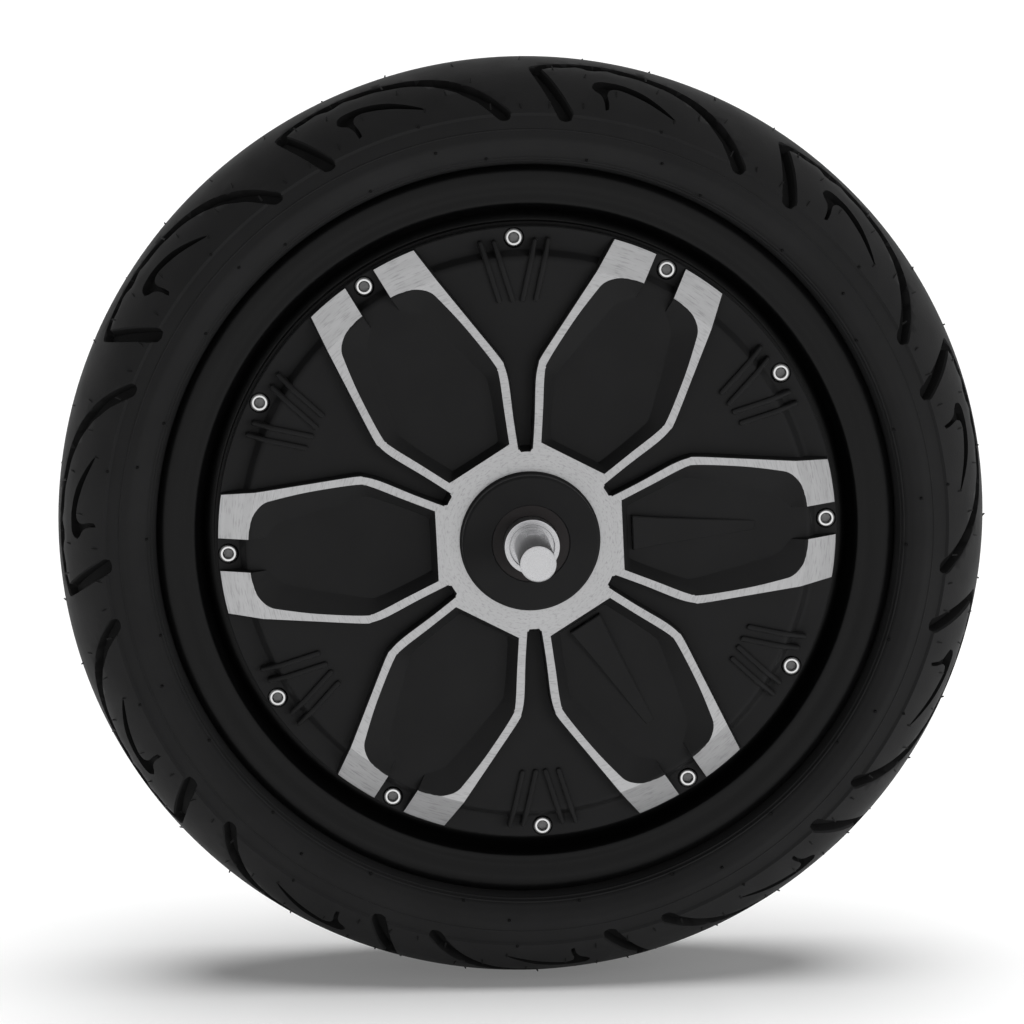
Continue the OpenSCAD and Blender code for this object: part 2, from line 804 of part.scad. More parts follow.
// Hollow in the right cover and its gasket that clears the valve.
module valve_scallop() {
    rotate([0, 0, valve_angle])
        translate([valve_r, 0, seat_z - cut])
            cylinder(r = scallop_r + 0.5, h = ring_t * 3);
}

module left_cover_screws() { left_side() cover_screws(); }
module right_cover_screws() { right_side() cover_screws(); }

module cover_screws() {
    shank_z = head_seat_z - screw_l;
    color([0.78, 0.78, 0.8])
        wheel_turned()
            around(screw_count, screw_circle_r)
                difference() {
                    union() {
                        rotate_extrude()
                            polygon([
                                [0, head_seat_z], [head_d / 2, head_seat_z],
                                [head_d / 2, head_z - edge], [head_d / 2 - edge, head_z], [0, head_z]
                            ]);
                        translate([0, 0, shank_z])
                            cylinder(d = screw_d, h = screw_l + cut / 2);
                    }
                    translate([0, 0, head_z - socket_depth])
                        cylinder(d = socket_w / cos(30), h = socket_depth + cut, $fn = 6);
                }
}

module gasket() {
    difference() {
        ring(drum_r + edge, cover_r - edge, seat_z, cover_z);
        wheel_turned()
            around(screw_count, screw_circle_r)
                translate([0, 0, seat_z - cut])
                    cylinder(d = screw_d + 4 * screw_clear, h = gasket_t + 2 * cut);
    }
}

module left_gasket() {
    color([0.25, 0.24, 0.22])
        left_side() gasket();
}

module right_gasket() {
    color([0.25, 0.24, 0.22])
        right_side()
            difference() {
                gasket();
                valve_scallop();
            }
}

// ---- Bearings and seals ----

module race(r_in, r_out, pitch_r, z_low, width) {
    groove_r = ball_d / 2 + ball_clear;
    difference() {
        ring(r_in, r_out, z_low, z_low + width);
        translate([0, 0, z_low + width / 2])
            rotate_extrude()
                translate([pitch_r, 0])
                    circle(r = groove_r);
    }
}

module outer_race(outer_d, pitch_r, width) {
    color([0.62, 0.63, 0.65])
        race(pitch_r + race_gap, outer_d / 2, pitch_r, bearing_z, width);
}

module inner_race(bore_d, pitch_r, width) {
    color([0.62, 0.63, 0.65])
        race(bore_d / 2, pitch_r - race_gap, pitch_r, bearing_z, width);
}

module balls(count, pitch_r, width) {
    color([0.8, 0.8, 0.82])
        around(count, pitch_r)
            translate([0, 0, bearing_z + width / 2])
                sphere(d = ball_d);
}

module cage(count, pitch_r, width) {
    mid_z = bearing_z + width / 2;
    color([0.66, 0.52, 0.26])
        difference() {
            ring(pitch_r - cage_t / 2, pitch_r + cage_t / 2, mid_z - cage_half_w, mid_z + cage_half_w);
            around(count)
                translate([0, 0, mid_z])
                    rotate([0, 90, 0])
                        cylinder(d = ball_d + 2 * ball_clear, h = pitch_r + cage_t);
        }
}

module shields(outer_d, pitch_r, width) {
    color([0.5, 0.5, 0.52])
        for (z = [bearing_z + 0.3, bearing_z + width - 0.3 - shield_t])
            ring(pitch_r - race_gap + 0.3, pitch_r + race_gap, z, z + shield_t);
}

module seal(spacer_r, seal_r, outer_z) {
    color([0.12, 0.1, 0.1])
        ring(spacer_r + seal_clear, seal_r, outer_z + seal_inset, outer_z + seal_inset + seal_w);
}

module left_outer_race() { left_side() outer_race(left_outer_d, left_pitch_r, left_bearing_w); }
module left_inner_race() { left_side() inner_race(left_bore_d, left_pitch_r, left_bearing_w); }
module left_balls() { left_side() balls(left_ball_count, left_pitch_r, left_bearing_w); }
module left_cage() { left_side() cage(left_ball_count, left_pitch_r, left_bearing_w); }
module left_shields() { left_side() shields(left_outer_d, left_pitch_r, left_bearing_w); }
module left_seal() { left_side() seal(left_spacer_r, left_seal_r, left_outer_z); }
module right_outer_race() { right_side() outer_race(right_outer_d, right_pitch_r, right_bearing_w); }
module right_inner_race() { right_side() inner_race(right_bore_d, right_pitch_r, right_bearing_w); }
module right_balls() { right_side() balls(right_ball_count, right_pitch_r, right_bearing_w); }
module right_cage() { right_side() cage(right_ball_count, right_pitch_r, right_bearing_w); }
module right_shields() { right_side() shields(right_outer_d, right_pitch_r, right_bearing_w); }
module right_seal() { right_side() seal(right_spacer_r, right_seal_r, right_outer_z); }

// ---- Axle ----

module axle() {
    left_shoulder_r = left_bore_d / 2 + 2.8;
    color([0.6, 0.6, 0.62])
        left_side() difference() {
            rotate_extrude()
                polygon([
                    [0, -axle_half_l],
                    [right_end_d / 2 - edge, -axle_half_l],
                    [right_end_d / 2, -axle_half_l + edge],
                    [right_end_d / 2, -dropout_z + spacer_reach],
                    [right_bore_d / 2, -dropout_z + spacer_reach],
                    [right_bore_d / 2, -bearing_z],
                    [axle_core_r, -bearing_z],
                    [axle_core_r, bearing_z - 6],
                    [left_shoulder_r, bearing_z - 6],
                    [left_shoulder_r, bearing_z],
                    [left_bore_d / 2, bearing_z],
                    [left_bore_d / 2, dropout_z - spacer_reach],
                    [left_end_d / 2, dropout_z - spacer_reach],
                    [left_end_d / 2, axle_half_l - edge],
                    [left_end_d / 2 - edge, axle_half_l],
                    [0, axle_half_l]
                ]);
            flats(left_flat_w, dropout_z);
            flats(right_flat_w, -dropout_z - flat_l);
            translate([0, 0, -axle_half_l - cut])
                cylinder(d = cable_bore_d, h = axle_half_l - spider_hub_half + cut);
            translate([0, 0, -(bearing_z + spider_hub_half) / 2])
                rotate([90, 0, 0])
                    cylinder(d = cable_bore_d - 1, h = axle_core_r + cut);
            key_slot();
        }
}

module flats(width, z_low) {
    for (side = [-1, 1])
        translate([-axle_core_r, side * (width / 2 + axle_core_r) - axle_core_r, z_low])
            cube([axle_core_d, axle_core_d, flat_l]);
}

module key_slot() {
    translate([-key_w / 2, axle_core_r - key_depth, -key_l / 2])
        cube([key_w, key_h, key_l]);
}

module axle_key() {
    color([0.5, 0.5, 0.52])
        left_side() key_slot();
}

module left_spacer() {
    color([0.66, 0.67, 0.69])
        left_side()
            ring(left_bore_d / 2, left_spacer_r, left_outer_z, dropout_z);
}

module right_spacer() {
    color([0.66, 0.67, 0.69])
        right_side()
            ring(right_bore_d / 2, right_spacer_r, right_outer_z, dropout_z);
}

// ---- Stator ----

module stator_spider() {
    web_mid_r = (spider_hub_r + core_bore_r - spider_rim_t) / 2;
    color([0.7, 0.71, 0.72])
        left_side() difference() {
            union() {
                ring(axle_core_r, spider_hub_r, -spider_hub_half, spider_hub_half);
                ring(spider_hub_r - cut, core_bore_r - cut, -web_half_t, web_half_t);
                ring(core_bore_r - spider_rim_t, core_bore_r, -stack_half_w, stack_half_w);
            }
            around(web_hole_count, web_mid_r, 180 / web_hole_count)
                translate([0, 0, -web_half_t - cut])
                    cylinder(r = web_hole_r, h = 2 * web_half_t + 2 * cut);
            translate([-key_w / 2, 0, -spider_hub_half - cut])
                cube([key_w, axle_core_r - key_depth + key_h, 2 * spider_hub_half + 2 * cut]);
        }
}

module lamination(r_out) {
    opening = slot_opening / 2;
    difference() {
        circle(r = r_out);
        circle(r = core_bore_r);
        around(tooth_count, 0, tooth_pitch / 2)
            polygon(both_sides([
                [slot_floor_r, slot_half(slot_floor_r)],
                [shoe_r - 1, slot_half(shoe_r - 1)],
                [shoe_r + 1, opening],
                [stator_r + cut, opening]
            ]));
    }
}

module stator_core() {
    color([0.32, 0.33, 0.36])
        left_side() translate([0, 0, -stack_half_w])
            linear_extrude(2 * stack_half_w)
                lamination(stator_r);
}

module insulator() {
    color([0.85, 0.83, 0.74])
        translate([0, 0, stack_half_w])
            linear_extrude(insulator_t)
                lamination(shoe_r);
}

module left_insulator() { left_side() insulator(); }
module right_insulator() { right_side() insulator(); }

module rounded_rect(half_w, half_h, r) {
    square([2 * half_w, 2 * (half_h - r)], center = true);
    square([2 * (half_w - r), 2 * half_h], center = true);
    for (x = [-1, 1])
        for (y = [-1, 1])
            translate([x * (half_w - r), y * (half_h - r)])
                circle(r = r);
}

module windings() {
    color([0.72, 0.38, 0.2])
        left_side() around(tooth_count)
            translate([coil_in_r, 0, 0])
                rotate([90, 0, 90])
                    linear_extrude(coil_out_r - coil_in_r)
                        difference() {
                            rounded_rect(coil_out_half, coil_out_z, coil_corner);
                            square([2 * coil_in_half, 2 * coil_in_z], center = true);
                        }
}

module hall_board() {
    span = 4 * tooth_pitch;
    color([0.1, 0.35, 0.2])
        right_side()
            rotate([0, 0, 270 - span / 2])
                rotate_extrude(angle = span)
                    translate([coil_in_r, coil_out_z])
                        square([shoe_r - coil_in_r, board_t]);
}

module hall_sensors() {
    depth = 1.6;
    color([0.12, 0.12, 0.12])
        right_side()
            for (i = [-1:1])
                rotate([0, 0, 270 - tooth_pitch / 2 + i * tooth_pitch])
                    translate([coil_out_r - depth, -sensor_w / 2, coil_out_z - sensor_l])
                        cube([depth, sensor_w, sensor_l]);
}

// ---- Valve, on the right side ----

module valve_place() {
    mirror([0, 0, 1])
        rotate([0, 0, valve_angle])
            translate([valve_r, 0, 0])
                children();
}

module valve_stem() {
    foot_z = foot_seat_z - washer_t;
    color([0.7, 0.6, 0.35])
        left_side() valve_place()
            difference() {
                union() {
                    translate([0, 0, foot_z - foot_t])
                        cylinder(d = foot_d, h = foot_t);
                    translate([0, 0, foot_z - cut / 2])
                        cylinder(d = stem_d, h = valve_top_z - foot_z + cut / 2);
                    translate([0, 0, valve_top_z - cut])
                        cylinder(d = top_d, h = top_l + cut);
                }
                translate([0, 0, foot_z - foot_t - cut])
                    cylinder(d = top_d - 2, h = valve_top_z + top_l);
            }
}

module valve_washer() {
    color([0.1, 0.1, 0.1])
        left_side() valve_place()
            ring(stem_d / 2, foot_d / 2, foot_seat_z - washer_t, foot_seat_z);
}

module valve_nut() {
    color([0.7, 0.7, 0.72])
        left_side() valve_place()
            translate([0, 0, nut_seat_z])
                difference() {
                    cylinder(d = nut_w / cos(30), h = nut_t, $fn = 6);
                    translate([0, 0, -cut])
                        cylinder(d = stem_d, h = nut_t + 2 * cut);
                }
}

module valve_core() {
    color([0.75, 0.65, 0.4])
        left_side() valve_place()
            translate([0, 0, valve_top_z - top_l])
                cylinder(d = top_d - 2, h = 2 * top_l - 1);
}

module valve_cap() {
    color([0.06, 0.06, 0.06])
        left_side() valve_place()
            translate([0, 0, valve_top_z + 0.5])
                difference() {
                    cylinder(d = cap_d, h = cap_l);
                    translate([0, 0, -cut])
                        cylinder(d = top_d, h = top_l + cut);
                }
}

tyre();
rim();
left_cover();
right_cover();
left_cover_screws();
right_cover_screws();
left_gasket();
right_gasket();
flux_ring();
magnets();
left_outer_race();
left_inner_race();
left_balls();
left_cage();
left_shields();
left_seal();
right_outer_race();
right_inner_race();
right_balls();
right_cage();
right_shields();
right_seal();
axle();
axle_key();
left_spacer();
right_spacer();
stator_spider();
stator_core();
left_insulator();
right_insulator();
windings();
hall_board();
hall_sensors();
valve_stem();
valve_washer();
valve_nut();
valve_core();
valve_cap();
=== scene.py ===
"""Looks of an electric scooter's hub motor wheel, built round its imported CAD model."""

import math

import bmesh
import bpy
import numpy as np
from bpy.props import FloatProperty, FloatVectorProperty, IntProperty, PointerProperty
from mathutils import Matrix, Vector
from mathutils.geometry import delaunay_2d_cdt


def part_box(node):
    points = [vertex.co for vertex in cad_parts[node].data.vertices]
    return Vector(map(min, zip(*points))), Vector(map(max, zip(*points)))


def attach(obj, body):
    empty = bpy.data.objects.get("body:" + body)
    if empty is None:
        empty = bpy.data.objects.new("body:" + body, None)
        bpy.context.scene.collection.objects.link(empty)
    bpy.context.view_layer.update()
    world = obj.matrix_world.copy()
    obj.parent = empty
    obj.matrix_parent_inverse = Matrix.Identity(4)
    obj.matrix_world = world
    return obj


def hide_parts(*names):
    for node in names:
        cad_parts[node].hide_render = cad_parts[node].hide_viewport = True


bl_info = {
    "name": "Hub Motor Wheel",
    "version": (1, 0, 0),
    "blender": (4, 5, 0),
    "location": "3D View > Sidebar > Wheel",
    "description": "Builds the tyre, rim, covers, screws, axle, valve and motor of a hub motor wheel",
    "category": "Add Mesh",
}

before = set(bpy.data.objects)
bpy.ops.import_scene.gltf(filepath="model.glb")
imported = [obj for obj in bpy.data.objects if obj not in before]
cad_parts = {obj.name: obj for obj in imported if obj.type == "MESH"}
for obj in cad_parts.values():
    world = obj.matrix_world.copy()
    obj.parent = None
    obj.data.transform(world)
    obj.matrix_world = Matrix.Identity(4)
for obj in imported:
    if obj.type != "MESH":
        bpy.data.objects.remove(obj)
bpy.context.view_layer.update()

MM = 0.001
WHEEL = "wheel"
AXLE = "axle_and_stator"
SAME_PLACE = 2e-6


def box_mm(node):
    """Lowest and highest corner of a CAD node in millimetres."""
    low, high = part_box(node)
    return np.array(low) / MM, np.array(high) / MM


# ---- Sizes read from the frame, in millimetres ----

TYRE_R = box_mm("tyre")[1][0]
BOSS_Z = -box_mm("left_cover")[0][1]
SCREW_TOP_Z = -box_mm("left_cover_screws")[0][1]
SCREW_END_Z = -box_mm("left_cover_screws")[1][1]
FLOOR_Z = -TYRE_R


# ---- Meshes ----

def turned(x, y, z, side):
    """Points drawn about the local Z axis, turned so that Z points along the axle to one side."""
    return np.stack([x, -z if side == "left" else z, y], axis=-1)


def add_piece(name, points, faces, materials, side="left", crease=32, marks=None):
    """A mesh object in metres, smooth but for edges sharper than the crease angle.

    Marks are one flag a face, kept as the attribute that picks the second material.
    """
    mesh = bpy.data.meshes.new(name)
    points = turned(*np.asarray(points, float).T, side)
    mesh.from_pydata((points * MM).tolist(), [], [list(map(int, f)) for f in faces])
    if marks is not None:
        mesh.attributes.new("second", "BOOLEAN", "FACE").data.foreach_set("value", [bool(m) for m in marks])
    body = bmesh.new()
    body.from_mesh(mesh)
    bmesh.ops.remove_doubles(body, verts=body.verts, dist=SAME_PLACE)
    bmesh.ops.recalc_face_normals(body, faces=body.faces)
    body.to_mesh(mesh)
    body.free()
    for material in materials:
        mesh.materials.append(material)
    piece = bpy.data.objects.new(name, mesh)
    bpy.context.scene.collection.objects.link(piece)
    smooth(piece, crease)
    return piece


def smooth(piece, crease=32):
    """Smooth shading with sharp edges past the crease angle, in degrees."""
    piece.data.shade_smooth()
    piece.data.set_sharp_from_angle(angle=math.radians(crease))


def settle(piece):
    """Replaces a piece's mesh by its evaluated one, and takes its modifiers off."""
    bpy.context.view_layer.update()
    graph = bpy.context.evaluated_depsgraph_get()
    made = bpy.data.meshes.new_from_object(piece.evaluated_get(graph), depsgraph=graph)
    old = piece.data
    piece.modifiers.clear()
    piece.data = made
    made.name = piece.name
    bpy.data.meshes.remove(old)


def even_faces(piece):
    """Gives flat faces their own normals, so that rounded edges blend into them."""
    shading = piece.modifiers.new("Even faces", "WEIGHTED_NORMAL")
    shading.keep_sharp = True
    shading.weight = 60
    settle(piece)


def cut(piece, cutters):
    """Takes closed cutter objects out of a piece."""
    for cutter in cutters:
        step = piece.modifiers.new("Cut", "BOOLEAN")
        step.operation = "DIFFERENCE"
        step.solver = "MANIFOLD"
        step.object = cutter
        settle(piece)
    for cutter in cutters:
        mesh = cutter.data
        bpy.data.objects.remove(cutter)
        bpy.data.meshes.remove(mesh)


def hand_over(piece, body, slot, *nodes):
    """Ties a finished piece to its body, and hides the CAD nodes that it stands for. The slot is not used.
    """
    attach(piece, body)
    if nodes:
        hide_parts(*nodes)
    return piece


def rounded(corners, steps=4):
    """An open outline whose corners with a third number become arcs of about that radius."""
    line = []
    for i, corner in enumerate(corners):
        here = np.array(corner[:2], float)
        if len(corner) < 3 or i in (0, len(corners) - 1):
            line.append(here)
            continue
        before = np.array(corners[i - 1][:2], float) - here
        after = np.array(corners[i + 1][:2], float) - here
        reach = min(np.linalg.norm(before), np.linalg.norm(after))
        before /= np.linalg.norm(before)
        after /= np.linalg.norm(after)
        turn = math.pi - math.acos(np.clip(before @ after, -1, 1))
        back = min(corner[2] * math.tan(turn / 2), reach * 0.49)
        for t in np.linspace(0, 1, steps + 1):
            line.append(here + before * back * (1 - t) ** 2 + after * back * t ** 2)
    return line


def flowing(points, spacing, closed=False):
    """A smooth line through points, with about the given spacing."""
    p = np.array(points, float)
    ends = (p[-1], p[0], p[1]) if closed else (2 * p[0] - p[1], 2 * p[-1] - p[-2], None)
    q = np.vstack([ends[0], p, ends[1]] + ([ends[2]] if closed else []))
    line = []
    for a, b, c, d in zip(q, q[1:], q[2:], q[3:]):
        count = max(1, int(round(np.linalg.norm(c - b) / spacing)))
        for t in np.arange(count) / count:
            line.append(0.5 * (2 * b + (c - a) * t + (2 * a - 5 * b + 4 * c - d) * t ** 2
                               + (3 * b - a - 3 * c + d) * t ** 3))
    if not closed:
        line.append(p[-1])
    return np.array(line)


def lathe(section, steps, closed=True):
    """A section of (radius, height) points turned about the axle."""
    angles = np.arange(steps) * 2 * math.pi / steps
    section = np.array(section, float)
    radius = np.repeat(section[:, 0], steps)
    turn = np.tile(angles, len(section))
    height = np.repeat(section[:, 1], steps)
    points = np.stack([radius * np.cos(turn), radius * np.sin(turn), height], axis=-1)
    faces = []
    rows = len(section) if closed else len(section) - 1
    for i in range(rows):
        a, b = i * steps, (i + 1) % len(section) * steps
        for j in range(steps):
            k = (j + 1) % steps
            faces.append((a + j, a + k, b + k, b + j))
    return points, faces


def skin(rings):
    """Joins rings of as many points each, and closes both ends with a face."""
    count = len(rings[0])
    points = np.vstack(rings)
    faces = []
    for i in range(len(rings) - 1):
        for j in range(count):
            k = (j + 1) % count
            faces.append((i * count + j, i * count + k, (i + 1) * count + k, (i + 1) * count + j))
    faces.append(tuple(range(count))[::-1])
    faces.append(tuple(range((len(rings) - 1) * count, len(rings) * count)))
    return points, faces


def joined(parts):
    """Several (points, faces) as one."""
    points, faces, start = [], [], 0
    for p, f in parts:
        points.append(np.asarray(p, float))
        faces += [tuple(start + i for i in face) for face in f]
        start += len(p)
    return np.vstack(points), faces


def polar(radius, degrees):
    """Plan points at radii and angles."""
    turn = np.radians(degrees)
    return np.stack([radius * np.cos(turn), radius * np.sin(turn)], axis=-1)


def swung(points, turn):
    """Points of (x, y, z) rows turned about the local Z axis."""
    x = points[:, 0] * math.cos(turn) - points[:, 1] * math.sin(turn)
    y = points[:, 0] * math.sin(turn) + points[:, 1] * math.cos(turn)
    return np.column_stack([x, y, points[:, 2]])


# ---- Surfaces drawn in plan and raised by a rule ----

def near(points, line, closed=False):
    """Distance from each point to a line, and how far along it the nearest place is."""
    a = np.asarray(line, float)
    b = np.roll(a, -1, axis=0) if closed else a[1:]
    a = a if closed else a[:-1]
    along = b - a
    long2 = np.maximum((along ** 2).sum(1), 1e-12)
    best = np.full(len(points), 1e9)
    place = np.zeros(len(points))
    for i in range(len(a)):
        t = np.clip(((points - a[i]) @ along[i]) / long2[i], 0, 1)
        away = np.linalg.norm(points - a[i] - t[:, None] * along[i], axis=1)
        closer = away < best
        best[closer] = away[closer]
        place[closer] = i + t[closer]
    return best, place


def inside(points, outline):
    """True for the points within a closed outline."""
    a = np.asarray(outline, float)
    b = np.roll(a, -1, axis=0)
    x, y = points[:, 0], points[:, 1]
    odd = np.zeros(len(points), bool)
    for (ax, ay), (bx, by) in zip(a, b):
        if ay == by:
            continue
        crosses = ((ay > y) != (by > y)) & (x < (bx - ax) * (y - ay) / (by - ay) + ax)
        odd ^= crosses
    return odd


def mirrored(half):
    """Both halves of an outline that is the same above and below its middle line."""
    half = np.asarray(half, float)
    return np.vstack([half, half[::-1] * (1, -1)])


def triangulated(lines, loose):
    """Triangles between lines, each a pair (points, closed), and loose points. Returns (points, faces)."""
    points, edges = [], []
    for line, closed in lines:
        start = len(points)
        points += [tuple(p) for p in line]
        edges += [(start + i, start + i + 1) for i in range(len(line) - 1)]
        if closed:
            edges.append((start + len(line) - 1, start))
    points += [tuple(p) for p in loose]
    made = delaunay_2d_cdt(points, edges, [], 0, 1e-4, False)
    flat = np.array([tuple(p) for p in made[0]])
    faces = np.array([tuple(f) for f in made[2]])
    return flat, faces


def only(flat, faces, keep):
    """The kept faces and the points that they use."""
    faces = faces[keep]
    used = np.unique(faces)
    place = np.full(len(flat), -1)
    place[used] = np.arange(len(used))
    return flat[used], place[faces]


# ---- Geometry Nodes ----

def math_node(tree, operation, a, b=None, c=None):
    """A Math node whose inputs are sockets or plain numbers; returns its output."""
    node = tree.nodes.new("ShaderNodeMath")
    node.operation = operation
    for i, value in enumerate((a, b, c)):
        if value is None:
            continue
        if isinstance(value, (int, float)):
            node.inputs[i].default_value = value
        else:
            tree.links.new(value, node.inputs[i])
    return node.outputs[0]


AROUND_SOCKETS = (
    ("Geometry", "NodeSocketGeometry", None),
    ("Count", "NodeSocketInt", 12),
    ("Radius", "NodeSocketFloat", 0.0),
    ("First Angle", "NodeSocketFloat", 0.0),
    ("Random Turn", "NodeSocketFloat", 0.0),
    ("Seed", "NodeSocketInt", 7),
    ("Merge Distance", "NodeSocketFloat", SAME_PLACE),
    ("Material", "NodeSocketMaterial", None),
    ("Second Material", "NodeSocketMaterial", None),
)


def shown_socket(sockets):
    """The first socket that a node's data type leaves in use."""
    return [socket for socket in sockets if socket.enabled][0]


def places_round(tree, given, angle):
    """Points round the axle at the given radius, one for each copy."""
    place = tree.nodes.new("ShaderNodeCombineXYZ")
    for axis, wave in ((0, "COSINE"), (2, "SINE")):
        reach = math_node(tree, "MULTIPLY", given["Radius"], math_node(tree, wave, angle))
        tree.links.new(reach, place.inputs[axis])
    points = tree.nodes.new("GeometryNodePoints")
    tree.links.new(given["Count"], points.inputs["Count"])
    tree.links.new(place.outputs[0], points.inputs["Position"])
    return points.outputs[0]


def turns_round(tree, given, angle):
    """Rotation of each copy: its own place's angle, with a random turn where one is asked for."""
    chance = tree.nodes.new("FunctionNodeRandomValue")
    chance.data_type = "FLOAT"
    by_name = {socket.name: socket for socket in chance.inputs if socket.enabled}
    tree.links.new(given["Random Turn"], by_name["Max"])
    tree.links.new(given["Seed"], by_name["Seed"])
    turn = tree.nodes.new("ShaderNodeCombineXYZ")
    tree.links.new(math_node(tree, "SUBTRACT", shown_socket(chance.outputs), angle), turn.inputs[1])
    to_turn = tree.nodes.new("FunctionNodeEulerToRotation")
    tree.links.new(turn.outputs[0], to_turn.inputs[0])
    return to_turn.outputs[0]


def two_materials(tree, given, geometry):
    """Gives the first material to all faces, then the second one to the marked ones."""
    first = tree.nodes.new("GeometryNodeSetMaterial")
    tree.links.new(geometry, first.inputs["Geometry"])
    tree.links.new(given["Material"], first.inputs["Material"])
    marked = tree.nodes.new("GeometryNodeInputNamedAttribute")
    marked.data_type = "BOOLEAN"
    marked.inputs["Name"].default_value = "second"
    second = tree.nodes.new("GeometryNodeSetMaterial")
    tree.links.new(first.outputs[0], second.inputs["Geometry"])
    tree.links.new(shown_socket(marked.outputs), second.inputs["Selection"])
    tree.links.new(given["Second Material"], second.inputs["Material"])
    return second.outputs[0]


def around_tree():
    """Node group that repeats a shape round the axle, each turned to face its own place."""
    tree = bpy.data.node_groups.new("Repeat round the axle", "GeometryNodeTree")
    for name, kind, default in AROUND_SOCKETS:
        socket = tree.interface.new_socket(name, in_out="INPUT", socket_type=kind)
        if default is not None:
            socket.default_value = default
    tree.interface.new_socket("Geometry", in_out="OUTPUT", socket_type="NodeSocketGeometry")
    given = tree.nodes.new("NodeGroupInput").outputs
    index = tree.nodes.new("GeometryNodeInputIndex").outputs[0]
    step = math_node(tree, "DIVIDE", 2 * math.pi, given["Count"])
    angle = math_node(tree, "MULTIPLY_ADD", index, step, given["First Angle"])
    copies = tree.nodes.new("GeometryNodeInstanceOnPoints")
    tree.links.new(places_round(tree, given, angle), copies.inputs["Points"])
    tree.links.new(given["Geometry"], copies.inputs["Instance"])
    tree.links.new(turns_round(tree, given, angle), copies.inputs["Rotation"])
    real = tree.nodes.new("GeometryNodeRealizeInstances")
    tree.links.new(copies.outputs[0], real.inputs[0])
    merged = tree.nodes.new("GeometryNodeMergeByDistance")
    tree.links.new(real.outputs[0], merged.inputs["Geometry"])
    tree.links.new(given["Merge Distance"], merged.inputs["Distance"])
    result = tree.nodes.new("NodeGroupOutput")
    tree.links.new(two_materials(tree, given, merged.outputs[0]), result.inputs[0])
    return tree


def around(piece, material, second=None, crease=32, **values):
    """Runs the repeating node group on a piece and keeps the result as its plain mesh."""
    name = "Repeat round the axle"
    tree = bpy.data.node_groups.get(name) or around_tree()
    step = piece.modifiers.new(name, "NODES")
    step.node_group = tree
    values["Material"] = material
    values["Second_Material"] = second or material
    for item in tree.interface.items_tree:
        if item.in_out == "INPUT" and item.name.replace(" ", "_") in values:
            step[item.identifier] = values[item.name.replace(" ", "_")]
    settle(piece)
    piece.data.set_sharp_from_angle(angle=math.radians(crease))
    return piece


# ---- Tyre ----

GROOVE_B = [(-1.8, 50.2), (-4.2, 46.2), (-8.7, 37.5), (-12, 31), (-14.5, 25.5), (-16.5, 21)]
GROOVE_B_HALF = [4.0, 4.0, 3.7, 3.5, 3.2, 2.7]
GROOVE_A = [
    (90.4, 50.3), (87.5, 47.5), (80, 40), (70, 32), (60, 25.7), (47.5, 20.5),
    (32.5, 17), (17.5, 15), (2.5, 15.5), (-10, 18), (-15.2, 20.2)
]
GROOVE_A_HALF = [3.6, 3.6, 3.4, 3.1, 2.8, 2.5, 2.3, 2.1, 1.9, 1.9, 2.2]
SICKLE = [
    (53.2, 41.5), (44.5, 35.8), (34.5, 30.5), (25.7, 28), (19.5, 27.5), (13.2, 28.2), (10.7, 30.5),
    (10.2, 33), (12, 35), (15, 37), (17, 41.2), (17.8, 45.5), (19.5, 44.5), (19, 40), (18, 36.2),
    (19, 33), (22, 31.8), (27, 32.5), (37, 35.5), (47, 39.5)
]
SIDE_LINES = ((57.6, 0.3, 0.45), (72.6, 0.5, 0.5), (74.8, 0.5, 0.45))
STEP_S = 50.0
STEP_TOP_S = 49.8
STEP_FOOT_S = 50.6
STEP_DEEP = 1.3
PANEL_END = 62.0
REPEAT_LENGTH = 123.0
HAIRS = [
    (99.1, 47.5), (112.7, 47.5), (6.8, 46.4), (115.4, 22.1), (6.6, 26.5), (22.5, 36.5), (36, 18.8),
    (41.2, 27.6), (52.1, 43.1), (64, 36), (76, 30), (84, 47), (70, 12), (100, 10)
]
HAIR_R = (0.5, 0.36)
PIPS = [(47.1, 49.4), (52.3, 63.5), (12, 71.0), (79, 71.0)]
PIP_R = (0.85, 0.6)
PIP_RISE = 0.85
CROWN_R = 51
CROWN_HALF = 44
CROWN_INSIDE_R = 42
CROWN_INSIDE_TURN = 1.16
TILE_STEPS = 16
TREAD_EDGE = 56.0
TREAD_START = 19.2


def tyre_outline():
    """Outer line of the tyre from the tread's middle to the bead: radius, height."""
    crown = [(TYRE_R - CROWN_R + CROWN_R * math.cos(a), CROWN_R * math.sin(a))
             for a in np.linspace(0, math.asin(CROWN_HALF / CROWN_R), 49)]
    side = flowing([crown[-1], (188.8, 43.4), (183.9, 45), (178, 44.1), (173.5, 41.4)], 1.4)
    foot = flowing([(173.5, 41.4), (170.6, 36.75), (169.6, 33.65), (168.7, 31.95), (166, 31.75)], 1.2)
    return np.vstack([crown[:-1], side, foot[1:]])


def reach_along(line):
    """Length along a line at each of its points."""
    return np.concatenate([[0], np.cumsum(np.linalg.norm(np.diff(line, axis=0), axis=1))])


def on_tyre(s, depth):
    """Radius and height of places s along the tyre's outer line, sunk by depth."""
    line = tyre_outline()
    reach = reach_along(line)
    slope = np.gradient(line, reach, axis=0)
    place = np.clip(np.abs(s), 0, reach[-1])
    radius = np.interp(place, reach, line[:, 0])
    height = np.interp(place, reach, line[:, 1])
    out_r = np.interp(place, reach, slope[:, 1])
    out_z = -np.interp(place, reach, slope[:, 0])
    size = np.hypot(out_r, out_z)
    return radius - depth * out_r / size, (height - depth * out_z / size) * np.sign(s)


